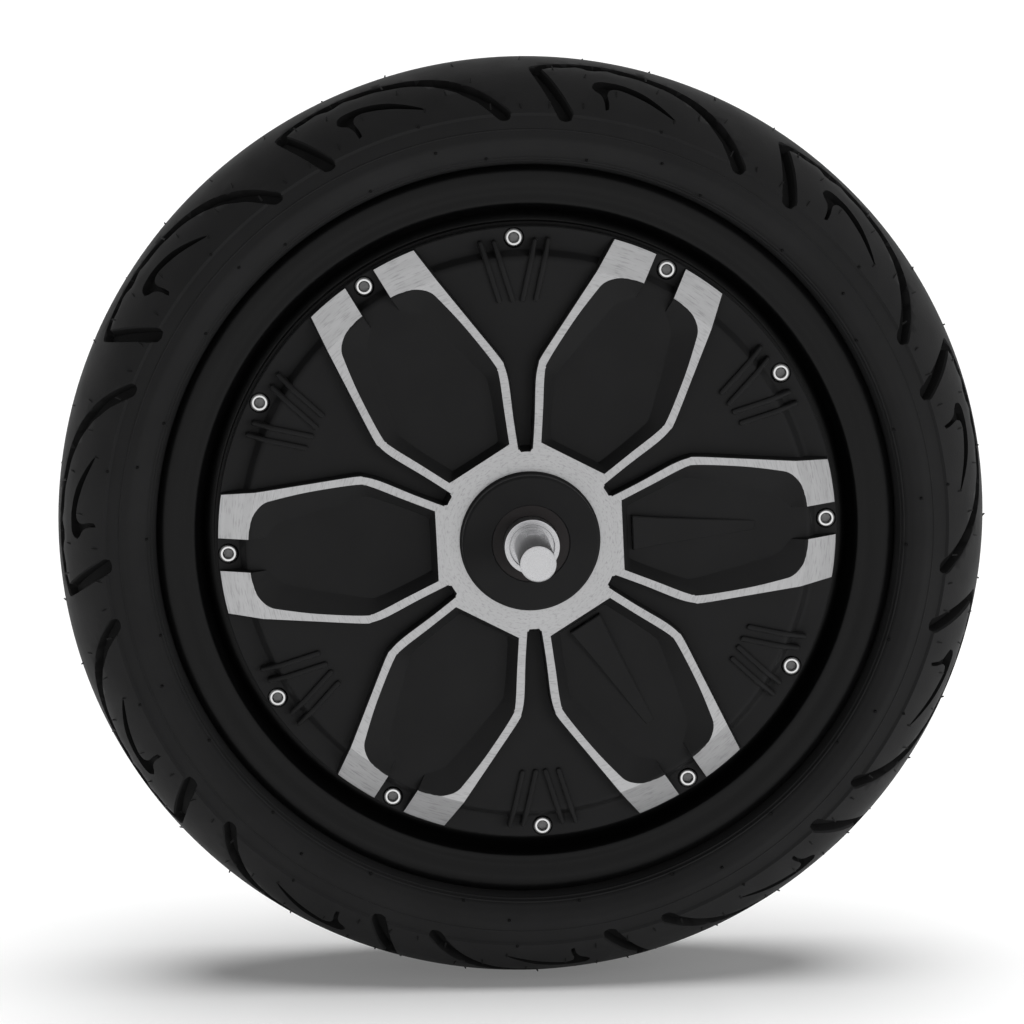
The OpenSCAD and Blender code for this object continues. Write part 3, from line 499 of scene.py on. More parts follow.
def shoulder_sink(s):
    """How far the sidewall lies under the tyre's round line, past the step at the tread's edge."""
    places = np.linspace(STEP_S + 0.55, PANEL_END, 24)
    top = np.column_stack(on_tyre(places, 0.0))
    way = np.column_stack(on_tyre(places, 1.0)) - top
    start = top[0] + way[0] * STEP_DEEP
    run = top[-1] - start
    out = np.array([-run[1], run[0]])
    depth = ((start - top) @ out) / (way @ out)
    return np.interp(np.abs(s), [STEP_S - 0.15, *places], [0.0, *depth])


def shrunk(outline, distance):
    """Outline drawn in by a distance, less where it is narrow."""
    outline = np.asarray(outline, float)
    run = np.roll(outline, -1, axis=0) - np.roll(outline, 1, axis=0)
    run /= np.linalg.norm(run, axis=1)[:, None]
    inward = np.stack([-run[:, 1], run[:, 0]], axis=-1)
    if not inside(outline[:1] + inward[:1] * 0.05, outline)[0]:
        inward = -inward
    ahead, behind = outline, np.roll(outline, -1, axis=0)
    moved = []
    for here, way in zip(outline, inward):
        a, b = ahead - here, behind - here
        side_a = a[:, 0] * way[1] - a[:, 1] * way[0]
        side_b = b[:, 0] * way[1] - b[:, 1] * way[0]
        share = side_a / np.where(side_a == side_b, 1e-9, side_a - side_b)
        hit = (a + (b - a) * share[:, None]) @ way
        across = hit[(side_a * side_b < 0) & (hit > 0.1)]
        room = across.min() / 2 if len(across) else distance
        moved.append(here + way * min(distance, 0.62 * room))
    return np.array(moved)


def groove_outline(line, half, scale):
    """Closed outline of a groove whose width changes along its middle line."""
    line = np.array(line, float)
    slope = np.gradient(line, axis=0)
    slope /= np.linalg.norm(slope, axis=1)[:, None]
    across = np.stack([-slope[:, 1], slope[:, 0]], axis=-1)
    wide = np.array(half)[:, None] * scale
    ends = []
    for i, way in ((0, -1), (-1, 1)):
        turns = np.radians([-60, -30, 0, 30, 60])
        ends.append([line[i] + wide[i] * way * (slope[i] * math.cos(t) - across[i] * math.sin(t) * way)
                     for t in turns])
    middle = flowing(line, 3.0)
    sides = np.interp(np.linspace(0, len(line) - 1, len(middle)), np.arange(len(line)), wide[:, 0])
    bend = np.gradient(middle, axis=0)
    bend /= np.linalg.norm(bend, axis=1)[:, None]
    off = np.stack([-bend[:, 1], bend[:, 0]], axis=-1) * sides[:, None]
    return np.vstack([ends[0][::-1], middle + off, ends[1][::-1], (middle - off)[::-1]])


def sunk(points, pitch, deep):
    """Depth of the tread's grooves at points (x along, s across) of one repeat."""
    depth = np.zeros(len(points))
    for sign, shift in ((1, 0.0), (-1, pitch / 2)):
        for turn in (-2, -1, 0, 1, 2):
            here = np.stack([points[:, 0] - shift + turn * pitch, points[:, 1] * sign], axis=-1)
            for line, half, share in ((GROOVE_B, GROOVE_B_HALF, 1.0), (GROOVE_A, GROOVE_A_HALF, 0.92)):
                away, place = near(here, line)
                wide = np.interp(place, np.arange(len(half)), half)
                rise = np.interp(away / wide, [0.6, 0.7, 0.93, 1.02], [1.0, 0.9, 0.1, 0.0])
                depth = np.maximum(depth, rise * np.interp(wide, [1.9, 3.6], [0.72, 1.0]) * share * deep)
            hook = flowing(SICKLE, 2.0, closed=True)
            within = inside(here, hook)
            if within.any():
                away, _ = near(here, hook, closed=True)
                floor = np.interp(away, [0.05, 0.3, 0.8], [0.0, 0.72, 0.8])
                depth = np.maximum(depth, within * floor * deep)
    return depth


def groove_lines(pitch):
    """Lines along the walls of all grooves that reach into one repeat."""
    lines = []
    for sign, shift in ((1, 0.0), (-1, pitch / 2)):
        for turn in (-1, 0, 1):
            move = np.array([shift + turn * pitch, 0.0])
            for scale in (1.04, 0.9, 0.6):
                for line, half in ((GROOVE_B, GROOVE_B_HALF), (GROOVE_A, GROOVE_A_HALF)):
                    lines.append((groove_outline(line, half, scale) * (1, sign) + move, True))
            hook = flowing(SICKLE, 2.0, closed=True)
            for inset in (0.3, 0.8):
                lines.append((shrunk(hook, inset) * (1, sign) + move, True))
            lines.append((hook * (1, sign) + move, True))
    return lines


def tile_plan(pitch):
    """One repeat of the tread laid flat: points (x along, s across) and triangles."""
    lines = groove_lines(pitch)
    middle = np.linspace(-STEP_TOP_S, STEP_TOP_S, 31)
    shoulder = np.linspace(STEP_FOOT_S + 0.6, TREAD_EDGE, 4)
    across = np.concatenate([-shoulder[::-1], middle, shoulder])
    for level in (-STEP_FOOT_S, -STEP_TOP_S, STEP_TOP_S, STEP_FOOT_S):
        lines.append(([(x, level) for x in np.linspace(0, pitch, 2 * TILE_STEPS + 1)], False))
    for level in (-TREAD_EDGE, TREAD_EDGE):
        lines.append(([(x, level) for x in np.linspace(0, pitch, TILE_STEPS + 1)], False))
    for x in (0.0, pitch):
        lines.append(([(x, s) for s in across], False))
    columns = np.linspace(0, pitch, 3 * TILE_STEPS // 2 + 1)[1:-1]
    loose = [(x, s) for x in columns for s in across[1:-1]]
    flat, faces = triangulated(lines, loose)
    middle = flat[faces].mean(axis=1)
    keep = (middle[:, 0] > 0) & (middle[:, 0] < pitch) & (np.abs(middle[:, 1]) < TREAD_EDGE)
    flat, faces = only(flat, faces, keep)
    low = np.abs(flat[:, 0]) < 0.02
    high = np.abs(flat[:, 0] - pitch) < 0.02
    flat[low, 0] = 0.0
    flat[high, 0] = pitch
    edge_s = flat[low, 1]
    for i in np.where(high)[0]:
        flat[i, 1] = edge_s[np.abs(edge_s - flat[i, 1]).argmin()]
    return flat, faces


def tread_tile(repeats, deep):
    """One repeat of the tyre's skin, from x = 0 towards falling angles: points, faces, groove flags."""
    pitch = 2 * math.pi * TYRE_R / repeats
    flat, faces = tile_plan(pitch)
    step = shoulder_sink(flat[:, 1])
    at_edge = np.abs(flat[:, 1]) > TREAD_EDGE - 0.01
    cut_in = np.where(at_edge, 0.0, sunk(flat, pitch, deep))
    depth = np.maximum(cut_in, step)
    radius, height = on_tyre(np.where(flat[:, 1] == 0, 1e-9, flat[:, 1]), depth)
    turn = -flat[:, 0] / TYRE_R
    points = np.stack([radius * np.cos(turn), radius * np.sin(turn), height], axis=-1)
    # Faces down in the grooves, which get the darker rubber as painted shade.
    in_groove = cut_in[faces].mean(axis=1) > 0.2 * deep
    return points, faces.tolist(), in_groove.tolist()


def tyre_rows():
    """Section of the tyre from the tread's left edge round the inside to its right edge."""
    line = tyre_outline()
    reach = reach_along(line)
    places = np.concatenate([[TREAD_EDGE], np.arange(TREAD_EDGE + 1, reach[-1], 1.0), [reach[-1]]])
    for at, size, wide in SIDE_LINES:
        places = places[np.abs(places - at) > wide + 0.1]
        places = np.sort(np.concatenate([places, [at - wide, at - wide / 3, at + wide / 3, at + wide]]))
    sink = shoulder_sink(places)
    for at, size, wide in SIDE_LINES:
        sink = sink - size * np.interp(np.abs(places - at), [wide / 3, wide], [1, 0])
    radius, height = on_tyre(places, sink)
    inner = rounded([
        (166, 31.75), (152.55, 31.75, 2.5), (151.4, 18.75, 1.2), (153.6, 18.05, 1.2), (160.4, 20.75, 4),
        (166.6, 25.25, 4), (172, 31.25, 6), (178, 39, 6), (185.9, 40, 4)
    ])
    hollow = [(TYRE_R - CROWN_R + CROWN_INSIDE_R * math.cos(a), CROWN_INSIDE_R * math.sin(a))
              for a in np.linspace(CROWN_INSIDE_TURN, 0.0, 12)]
    half = np.vstack([np.stack([radius, height], axis=-1), inner[1:], hollow])
    return np.vstack([half, half[:-1][::-1] * (1, -1)])


def tyre_skin(repeats, deep):
    """Tread tile with the rest of the tyre's section over the same sector; flags its grooves."""
    *tile, in_groove = tread_tile(repeats, deep)
    rows = tyre_rows()
    wide = TILE_STEPS + 1
    turn = -np.linspace(0, 2 * math.pi / repeats, wide)
    points = np.array([(r * math.cos(t), r * math.sin(t), z) for r, z in rows for t in turn])
    faces = []
    for i in range(len(rows) - 1):
        for j in range(TILE_STEPS):
            a = i * wide + j
            faces.append((a, a + 1, a + wide + 1, a + wide))
    return *joined([tile, (points, faces)]), in_groove + [False] * len(faces)


def placed(x, s, depth):
    """A place on the tyre by its distance along the tread, across it and into it."""
    radius, height = on_tyre(np.array([s], float), depth)
    turn = -x / TYRE_R
    return np.array([radius[0] * math.cos(turn), radius[0] * math.sin(turn), height[0]])


def tapered(start, end, thick, thin, sides=6):
    """A closed rod between two points with its own thickness at each end and a domed tip."""
    way = (end - start) / np.linalg.norm(end - start)
    side = np.cross(way, [0.3, 0.5, 0.81])
    side /= np.linalg.norm(side)
    other = np.cross(way, side)
    turns = np.linspace(0, 2 * math.pi, sides, endpoint=False)
    ring = np.outer(np.cos(turns), side) + np.outer(np.sin(turns), other)
    tip = end + way * thin * 0.7
    return skin([start + ring * thick, end + ring * thin, tip + ring * thin * 0.55])


def vent_marks(repeats):
    """Rubber hairs and pips that the mould's vents leave, over one repeat of both sides."""
    pitch = 2 * math.pi * TYRE_R / repeats
    shapes = []
    for sign, shift in ((1, 0.0), (-1, pitch / 2)):
        for i, (x, s) in enumerate(HAIRS):
            reach = 1.9 + 0.4 * (i * 7 % 4)
            lean = 0.7 * (i * 5 % 3 - 1)
            x = x * pitch / REPEAT_LENGTH + shift
            root = placed(x, s * sign, 0.4)
            end = placed(x + lean, (s - reach) * sign, -0.7)
            shapes.append(tapered(root, end, *HAIR_R))
        for x, s in PIPS:
            sink = shoulder_sink(s) + 0.25
            x = x * pitch / REPEAT_LENGTH + shift
            root = placed(x, s * sign, sink)
            end = placed(x, s * sign, sink - PIP_RISE)
            shapes.append(tapered(root, end, *PIP_R, sides=10))
    return joined(shapes)


# ---- Rim ----

RIM_SIDE = [
    (152.4, 31.75), (165.2, 31.75, 2.5), (166.1, 33.4, 0.8), (169, 33.45, 1.2), (167.8, 35.25),
    (165.5, 36.7), (163, 37.4), (161.5, 37.5), (159.6, 37.1), (157.5, 35.5), (155.8, 34.9),
    (154.6, 35.7), (153.4, 36.3), (152, 35.9), (150.8, 33.9), (148, 25.5), (146.8, 24), (145.4, 23.5),
    (143.6, 23.5)
]
ROLL_FIRST = 3
ROLL_LAST = 18
RIM_STEPS = 288


def rim_section():
    """Closed section of the rim: well, humps, bead seats, flanges, valleys and drum."""
    well = rounded([
        (138, 0.0), (138, 8.5, 2.5), (149, 14, 3), (151.95, 14.5, 1), (152.2, 16.6, 1.2),
        (151.4, 18.75, 1), (152.4, 31.75)
    ], 3)
    roll = flowing([corner[:2] for corner in RIM_SIDE[ROLL_FIRST:ROLL_LAST + 1]], 0.6)
    for _ in range(12):
        roll[1:-1] = (roll[:-2] + 2 * roll[1:-1] + roll[2:]) / 4
    seat = rounded(RIM_SIDE[:ROLL_FIRST + 1], 3)
    drum = rounded([
        RIM_SIDE[ROLL_LAST], (143.05, 23.6, 0.3), (143, 29.5, 0.2), (131, 29.5, 0.3), (131, 0)
    ], 3)
    half = np.vstack([well, seat[1:], roll[1:], drum[1:]])
    return np.vstack([half, half[1:-1][::-1] * (1, -1)])


# ---- Left cover ----

COVER_R = 141.9
COLLAR_R = 41
COLLAR_FLAT_R = 32.1
PETAL_EDGE = [
    (38, 18.4), (51, 24.2), (66.3, 31.5), (73.6, 33.8), (77.9, 34.1), (100, 31.8), (122.5, 29.4),
    (146, 27.0)
]
POCKET_TOP = [
    (42.3, 16.1), (56.5, 22.5), (71, 29.1), (77.5, 30.2), (98, 28.2), (113.5, 25.5),
    (119.5, 23.8), (123.5, 20), (125.6, 16), (126.8, 11), (127.2, 7.6)
]
POCKET_FLOOR = [
    (45, 12.1), (57, 17.6), (69, 22.4), (74.5, 23.2), (93, 19), (109, 15),
    (112.8, 13.6), (115.4, 11.6), (117.3, 9.6), (118.5, 8.4), (119.5, 7.6)
]
DISC_Z = 43.5
COLLAR_Z = 50
CREASE_R = 126.0
RIDGE_LINE = [(COLLAR_R, COLLAR_Z), (CREASE_R, 48), (141.6, 38.6)]
DISC_LINE = [
    (COLLAR_R, COLLAR_Z), (43, DISC_Z), (128.3, DISC_Z), (131.9, 37.5), (141.4, 37.5), (COVER_R, 37.0)
]
SCREW_R = 136.8
SEAT_Z = 33.3
NECK_HALF = 7.6
NECK_START = 113.0
TAB_END = 141.1
SECTOR_STEPS = 40
HALF_SECTOR = 30
RING_RADII = np.arange(46, 126, 4.0)
PLAN_START_R = 41.5
PLAN_END_R = 141.42
WALL_SHARES = (0.0, 0.05, 0.5, 0.84, 0.93, 1.0)
SEAT_RINGS = (4.42, 4.5, 4.8)


def disc_profile():
    """Cover's face outside the petals, from the collar to the rim: radius, height."""
    collar, foot, brink, seat, edge, end = DISC_LINE
    corners = [collar, foot + (0.9,), brink + (3.4,), seat + (3.2,), edge]
    return np.array(rounded(corners, 7) + [end])


def offset_line(line, distance):
    """A line moved sideways, to the left of its run."""
    line = np.array(line, float)
    slope = np.gradient(line, axis=0)
    slope /= np.linalg.norm(slope, axis=1)[:, None]
    return line + np.stack([-slope[:, 1], slope[:, 0]], axis=-1) * distance


def evened(line, steps):
    """Points of a line at even shares of its length."""
    reach = reach_along(line) / reach_along(line)[-1]
    return np.stack([np.interp(steps, reach, line[:, i]) for i in (0, 1)], axis=-1)


def petal_lines():
    """Smooth upper halves of the petal's outer edge, pocket top and pocket floor."""
    edge = flowing(PETAL_EDGE, 2.2)
    top = flowing(POCKET_TOP, 1.6)
    floor = flowing(POCKET_FLOOR, 1.6)
    steps = np.linspace(0, 1, 90)
    return edge, evened(top, steps), evened(floor, steps)


def face_height(flat, edge, top, floor):
    """Height of the cover's face at points of one petal's sector, and which lie on the ridge."""
    radius = np.linalg.norm(flat, axis=1)
    disc = disc_profile()
    base = np.interp(radius, disc[:, 0], disc[:, 1])
    crest = np.interp(radius, *np.array(RIDGE_LINE).T)
    folded = np.abs(flat)
    edge_away, _ = near(folded, edge)
    edge_in = np.where(folded[:, 1] < np.interp(folded[:, 0], edge[:, 0], edge[:, 1]), edge_away, -edge_away)
    wall = np.interp(edge_in, [-0.75, -0.12, 0.3], [0.0, 0.93, 1.0])
    ring_top = np.vstack([top, [(top[-1, 0], 0)]])
    ring_floor = np.vstack([floor, [(floor[-1, 0], 0)]])
    top_away, _ = near(folded, np.vstack([(top[0, 0], 0), ring_top]))
    floor_away, _ = near(folded, np.vstack([(floor[0, 0], 0), ring_floor]))
    in_top = inside(flat, mirrored(top)) & (top_away > 0.02)
    in_floor = inside(flat, mirrored(floor))
    share = top_away / np.maximum(top_away + floor_away, 1e-9)
    slope = np.interp(share, [0, 0.05, 0.84, 0.93, 1.0], [1.0, 0.965, 0.165, 0.05, 0.0])
    sink = np.where(in_floor | (floor_away < 0.02), 0.0, np.where(in_top, slope, 1.0))
    neck = (flat[:, 0] > NECK_START) & (np.abs(flat[:, 1]) < NECK_HALF + 0.01)
    sink = np.where(neck, sink * np.clip((np.abs(flat[:, 1]) - NECK_HALF + 0.4) / 0.4, 0, 1), sink)
    tab = np.clip((TAB_END + 0.3 - radius) / 0.3, 0, 1)
    height = base + np.maximum(crest - base, 0) * wall * sink * tab
    ridge = (edge_in > 0.25) & (sink > 0.99) & (tab > 0.99)
    for turn in (-HALF_SECTOR, 0, HALF_SECTOR):
        centre = polar(np.array([SCREW_R]), turn)[0]
        away = np.linalg.norm(flat - centre, axis=1)
        level = np.interp(away, SEAT_RINGS, [SEAT_Z, 37.2, 37.5])
        height = np.where(away < SEAT_RINGS[2] - 0.01, level, height)
    return height, ridge


def between(line, low, high):
    """The part of a line that lies between two radii."""
    line = np.asarray(line, float)
    steps = np.arange(len(line))
    fine = np.linspace(0, len(line) - 1, (len(line) - 1) * 24 + 1)
    dense = np.stack([np.interp(fine, steps, line[:, i]) for i in (0, 1)], axis=-1)
    reach = np.linalg.norm(dense, axis=1)
    kept = np.flatnonzero((reach > low) & (reach < high))
    return dense[kept[(kept % 24 == 0) | (kept == kept[0]) | (kept == kept[-1])]]


def sector_lines(half_angle, radii):
    """Both straight sides of a sector, with points at the given radii."""
    return [(np.stack([np.array(radii) * math.cos(a), np.array(radii) * math.sin(a)], axis=-1), False)
            for a in (-half_angle, half_angle)]


def petal_plan(edge, top, floor):
    """Lines along the ridge's edges, the pocket's wall and the neck, on both sides of a petal."""
    lines = []
    for sign in (1, -1):
        for away in (0.75, 0.12, -0.3):
            ridge = offset_line(edge, away) * (1, sign)
            lines.append((between(ridge, PLAN_START_R, PLAN_END_R), False))
        for share in WALL_SHARES:
            lines.append(((top * (1 - share) + floor * share) * (1, sign), False))
        for v in (NECK_HALF, NECK_HALF - 0.4):
            neck = [(u, v * sign) for u in np.linspace(NECK_START + 6, 141.8, 16)]
            lines.append((between(neck, NECK_START, PLAN_END_R), False))
    for share in WALL_SHARES:
        end = top[0] * (1 - share) + floor[0] * share
        lines.append(([(end[0], v) for v in np.linspace(-end[1], end[1], 15)], False))
    return lines


def loose_places(edge, top, floor):
    """Points in rings over the open stretches of a sector, clear of its lines."""
    loose = []
    for r in RING_RADII:
        count = max(8, int(r * math.pi / 3 / 4.5))
        turns = np.linspace(-HALF_SECTOR, HALF_SECTOR, count + 1)[1:-1]
        loose += polar(np.full(count - 1, r), turns).tolist()
    loose = np.array(loose)
    folded = np.abs(loose)
    edge_away, _ = near(folded, edge)
    top_away, _ = near(folded, top)
    in_wall = inside(loose, mirrored(top)) & ~inside(loose, mirrored(floor))
    return loose[(edge_away > 1.5) & (top_away > 1.2) & ~in_wall]


def cover_face():
    """One sixth of the left cover's face round its petal: points, faces, and which are machined."""
    edge, top, floor = petal_lines()
    disc = disc_profile()
    turns = np.linspace(-HALF_SECTOR, HALF_SECTOR, SECTOR_STEPS + 1)
    lines = []
    seat_radii = SCREW_R + np.array([-4.8, -4.5, -4.42, 4.42, 4.5])
    radii = np.concatenate([disc[:, 0], [CREASE_R, TAB_END, SCREW_R], seat_radii, RING_RADII])
    radii = sorted(set(np.round(radii, 4)))
    for r in np.concatenate([disc[:, 0], [CREASE_R, TAB_END]]):
        lines.append((polar(np.full(len(turns), r), turns), False))
    lines += sector_lines(math.radians(HALF_SECTOR), radii)
    lines += petal_plan(edge, top, floor)
    for turn in (-HALF_SECTOR, 0, HALF_SECTOR):
        centre = polar(np.array([SCREW_R]), turn)[0]
        for r in SEAT_RINGS:
            ring = polar(np.full(36, r), turn + np.arange(36) * 10.0) + centre
            lines.append((ring, True))
    loose = loose_places(edge, top, floor)
    flat, faces = triangulated(lines, loose)
    middle = flat[faces].mean(axis=1)
    reach = np.linalg.norm(middle, axis=1)
    swing = np.degrees(np.arctan2(middle[:, 1], middle[:, 0]))
    chord = math.cos(math.radians(HALF_SECTOR / SECTOR_STEPS))
    in_rings = (reach > COLLAR_R * chord + 1e-5) & (reach < COVER_R * chord + 0.05)
    keep = in_rings & (np.abs(swing) < HALF_SECTOR)
    flat, faces = only(flat, faces, keep)
    height, _ = face_height(flat, edge, top, floor)
    _, machined = face_height(flat[faces].mean(axis=1), edge, top, floor)
    return np.column_stack([flat, height]), faces, machined


def left_cover_rest():
    """Rim edge, spigot, inside, bearing seat, boss and collar of the left cover."""
    corners = [
        (COVER_R, 37.0), (COVER_R, 30), (130.9, 30), (130.9, 26), (128.4, 26), (125.9, 38.5, 2),
        (33, 38.5, 2), (29.5, 34.5, 0.5), (23.5, 34.5), (23.5, 50), (17.5, 50), (17.5, 56.6),
        (17.9, BOSS_Z), (30, BOSS_Z), (31, 56), (31, 51, 1), (32, COLLAR_Z), (COLLAR_R, COLLAR_Z)
    ]
    return rounded(corners, 3)


# ---- Finishes ----

def spread_node(tree, value, low, high, start, end):
    """Maps a socket's value from start..end to low..high, kept within them."""
    node = tree.nodes.new("ShaderNodeMapRange")
    tree.links.new(value, node.inputs["Value"])
    for name, number in (("From Min", start), ("From Max", end), ("To Min", low), ("To Max", high)):
        node.inputs[name].default_value = number
    return node.outputs["Result"]


class Shader:
    """Short names for the nodes of one material."""

    def __init__(self, name):
        self.material = bpy.data.materials.new(name)
        self.material.use_nodes = True
        self.nodes = self.material.node_tree.nodes
        self.links = self.material.node_tree.links
        self.surface = self.nodes["Principled BSDF"]
        self.place = self.nodes.new("ShaderNodeTexCoord").outputs["Object"]

    def set(self, **values):
        """Sets the surface's own sockets; underscores stand for spaces."""
        for name, value in values.items():
            self.surface.inputs[name.replace("_", " ")].default_value = value

    def join(self, output, name):
        """Joins an output to one of the surface's sockets."""
        self.links.new(output, self.surface.inputs[name])

    def noise(self, scale, detail=3.0, rough=0.5, place=None, line=None):
        """Noise in space, or along one number where line is given."""
        node = self.nodes.new("ShaderNodeTexNoise")
        node.inputs["Scale"].default_value = scale
        node.inputs["Detail"].default_value = detail
        node.inputs["Roughness"].default_value = rough
        if line is not None:
            node.noise_dimensions = "1D"
            self.links.new(line, node.inputs["W"])
        else:
            self.links.new(place or self.place, node.inputs["Vector"])
        return node.outputs["Fac"]

    def math(self, operation, a, b=None, c=None):
        """A Math node in this material."""
        return math_node(self.material.node_tree, operation, a, b, c)

    def spread(self, value, low, high, start=0.0, end=1.0):
        """Maps a value from start..end to low..high, kept within them."""
        return spread_node(self.material.node_tree, value, low, high, start, end)

    def mix(self, share, a, b):
        """Blends two colours, each an RGB triple or a socket."""
        node = self.nodes.new("ShaderNodeMix")
        node.data_type = "RGBA"
        self.links.new(share, node.inputs["Factor"])
        for socket, value in ((node.inputs[6], a), (node.inputs[7], b)):
            if isinstance(value, (tuple, list)):
                socket.default_value = (*value[:3], 1.0)
            else:
                self.links.new(value, socket)
        return node.outputs[2]

    def bump(self, height, strength, distance, under=None):
        """The normal that a height gives. Distance is in metres."""
        node = self.nodes.new("ShaderNodeBump")
        node.inputs["Strength"].default_value = strength
        node.inputs["Distance"].default_value = distance
        self.links.new(height, node.inputs["Height"])
        if under is not None:
            self.links.new(under, node.inputs["Normal"])
        return node.outputs["Normal"]

    def axes(self):
        """X, Y and Z of the place, in metres."""
        node = self.nodes.new("ShaderNodeSeparateXYZ")
        self.links.new(self.place, node.inputs[0])
        return node.outputs[0], node.outputs[1], node.outputs[2]

    def from_axle(self):
        """Distance from the axle, in metres."""
        x, _, z = self.axes()
        return self.math("SQRT", self.math("MULTIPLY_ADD", x, x, self.math("MULTIPLY", z, z)))

    def streaks(self, pitch, turn):
        """Noise drawn out round the axle: short arcs, longer where turn is smaller."""
        x, _, z = self.axes()
        node = self.nodes.new("ShaderNodeCombineXYZ")
        self.links.new(self.from_axle(), node.inputs[0])
        self.links.new(self.math("MULTIPLY", self.math("ARCTAN2", z, x), turn), node.inputs[1])
        return self.noise(pitch, 3.0, 0.6, place=node.outputs[0])


def shade(colour, factor):
    """A colour made lighter or darker."""
    return tuple(min(1.0, c * factor) for c in colour[:3])


def rubber(name, colour, rough=0.6, grain=1500.0, depth=0.00012):
    """Moulded rubber: fine grain, cloudy tone and slightly uneven gloss."""
    s = Shader(name)
    cloud = s.noise(24.0, 4.0, 0.6)
    s.join(s.mix(cloud, shade(colour, 0.72), shade(colour, 1.3)), "Base Color")
    s.join(s.spread(s.noise(70.0, 3.0), rough - 0.1, rough + 0.1), "Roughness")
    s.set(Specular_IOR_Level=0.1)
    fine = s.bump(s.noise(grain, 2.0), 0.5, depth)
    s.join(s.bump(s.noise(160.0, 2.0), 0.25, 0.0003, fine), "Normal")
    return s.material


def paint(name, colour, rough=0.38, gloss=0.06, peel=420.0, depth=0.00008):
    """Satin coat on a casting: orange peel, faint cloudiness and dust in its gloss."""
    s = Shader(name)
    cloud = s.noise(30.0, 4.0, 0.6)
    s.join(s.mix(cloud, shade(colour, 0.8), shade(colour, 1.2)), "Base Color")
    s.join(s.spread(s.noise(220.0, 3.0), rough - 0.06, rough + 0.07), "Roughness")
    s.set(Specular_IOR_Level=gloss)
    skin_bump = s.bump(s.noise(peel, 2.0), 0.6, depth)
    s.join(s.bump(s.noise(1800.0, 2.0), 0.35, 0.00004, skin_bump), "Normal")
    return s.material


def turned_metal(name, colour, rough=0.34, pitch=2600.0, depth=0.000012):
    """Metal cut on a lathe: rings about the axle in its tone, gloss and relief."""
    s = Shader(name)
    radius = s.from_axle()
    rings = s.noise(pitch, 3.0, 0.65, line=radius)
    broad = s.noise(260.0, 3.0, 0.6, line=radius)
    tone = s.math("MULTIPLY_ADD", broad, 0.35, s.math("MULTIPLY", rings, 0.3))
    tone = s.math("MULTIPLY_ADD", s.noise(45.0, 4.0, 0.6), 0.35, tone)
    bright = s.mix(tone, shade(colour, 0.78), shade(colour, 1.24))
    scores = s.spread(s.streaks(1500.0, 0.012), 0.0, 1.0, 0.32, 0.48)
    s.join(s.mix(scores, shade(colour, 0.74), bright), "Base Color")
    s.join(s.spread(rings, rough - 0.06, rough + 0.08, 0.3, 0.7), "Roughness")
    s.set(Metallic=1.0)
    s.join(s.bump(rings, 0.35, depth), "Normal")
    return s.material


def worked_metal(name, colour, rough=0.3, grain=900.0, depth=0.00003):
    """Plain metal with grain, faint stains and uneven gloss."""
    s = Shader(name)
    grains = s.noise(grain, 3.0, 0.6)
    s.join(s.mix(s.noise(60.0, 4.0, 0.6), shade(colour, 0.8), shade(colour, 1.12)), "Base Color")
    s.join(s.spread(grains, rough - 0.1, rough + 0.12, 0.3, 0.7), "Roughness")
    s.set(Metallic=1.0)
    s.join(s.bump(grains, 0.5, depth), "Normal")
    return s.material


def moulded(name, colour, rough=0.5, grain=1200.0, depth=0.00004):
    """Moulded plastic or fibre sheet with a fine texture."""
    s = Shader(name)
    s.join(s.mix(s.noise(90.0, 4.0), shade(colour, 0.85), shade(colour, 1.12)), "Base Color")
    s.join(s.spread(s.noise(300.0, 3.0), rough - 0.08, rough + 0.08), "Roughness")
    s.join(s.bump(s.noise(grain, 3.0), 0.5, depth), "Normal")
    return s.material


def wound_copper(name, colour, pitch):
    """Enamelled wire laid side by side, seen as fine rounded lines across the axle: its colour darkens
    towards the gaps between turns, painted shade of their relief.
    """
    s = Shader(name)
    _, y, _ = s.axes()
    wave = s.math("SINE", s.math("MULTIPLY", y, 2 * math.pi / pitch))
    radius = s.from_axle()
    turns = s.math("SINE", s.math("MULTIPLY", radius, 2 * math.pi / pitch))
    both = s.math("MAXIMUM", wave, turns)
    level = s.spread(both, 0.0, 1.0, -1.0, 1.0)
    # Darker where the relief is low and lighter on the turns' crests: painted shade.
    s.join(s.mix(level, shade(colour, 0.45), shade(colour, 1.15)), "Base Color")
    s.join(s.spread(s.noise(500.0), 0.24, 0.4), "Roughness")
    s.set(Metallic=0.85, Coat_Weight=0.4, Coat_Roughness=0.15)
    s.join(s.bump(both, 0.7, 0.0002), "Normal")
    return s.material


def laminated(name, colour, pitch):
    """Stacked steel sheets: fine lines across the axle."""
    s = Shader(name)
    _, y, _ = s.axes()
    sheets = s.math("SINE", s.math("MULTIPLY", y, 2 * math.pi / pitch))
    level = s.spread(sheets, 0.0, 1.0, -1.0, 1.0)
    s.join(s.mix(level, shade(colour, 0.6), shade(colour, 1.2)), "Base Color")
    s.join(s.spread(s.noise(400.0), 0.35, 0.55), "Roughness")
    s.set(Metallic=0.9)
    s.join(s.bump(sheets, 0.6, 0.0001), "Normal")
    return s.material


def circuit_board(name, colour):
    """Solder-mask green with faint tracks."""
    s = Shader(name)
    cells = s.nodes.new("ShaderNodeTexVoronoi")
    cells.feature = "DISTANCE_TO_EDGE"
    cells.inputs["Scale"].default_value = 260.0
    s.links.new(s.place, cells.inputs["Vector"])
    tracks = s.spread(cells.outputs["Distance"], 1.0, 0.0, 0.02, 0.06)
    s.join(s.mix(tracks, colour, shade(colour, 2.2)), "Base Color")
    s.join(s.spread(s.noise(400.0), 0.3, 0.45), "Roughness")
    s.join(s.bump(tracks, 0.4, 0.00005), "Normal")
    return s.material


# ---- Sizes and colours that a user may change ----

def colour_prop(name, description, default):
    """A colour that a user may change."""
    return FloatVectorProperty(name=name, description=description, subtype="COLOR", size=3, min=0.0, max=1.0,
                               default=default)


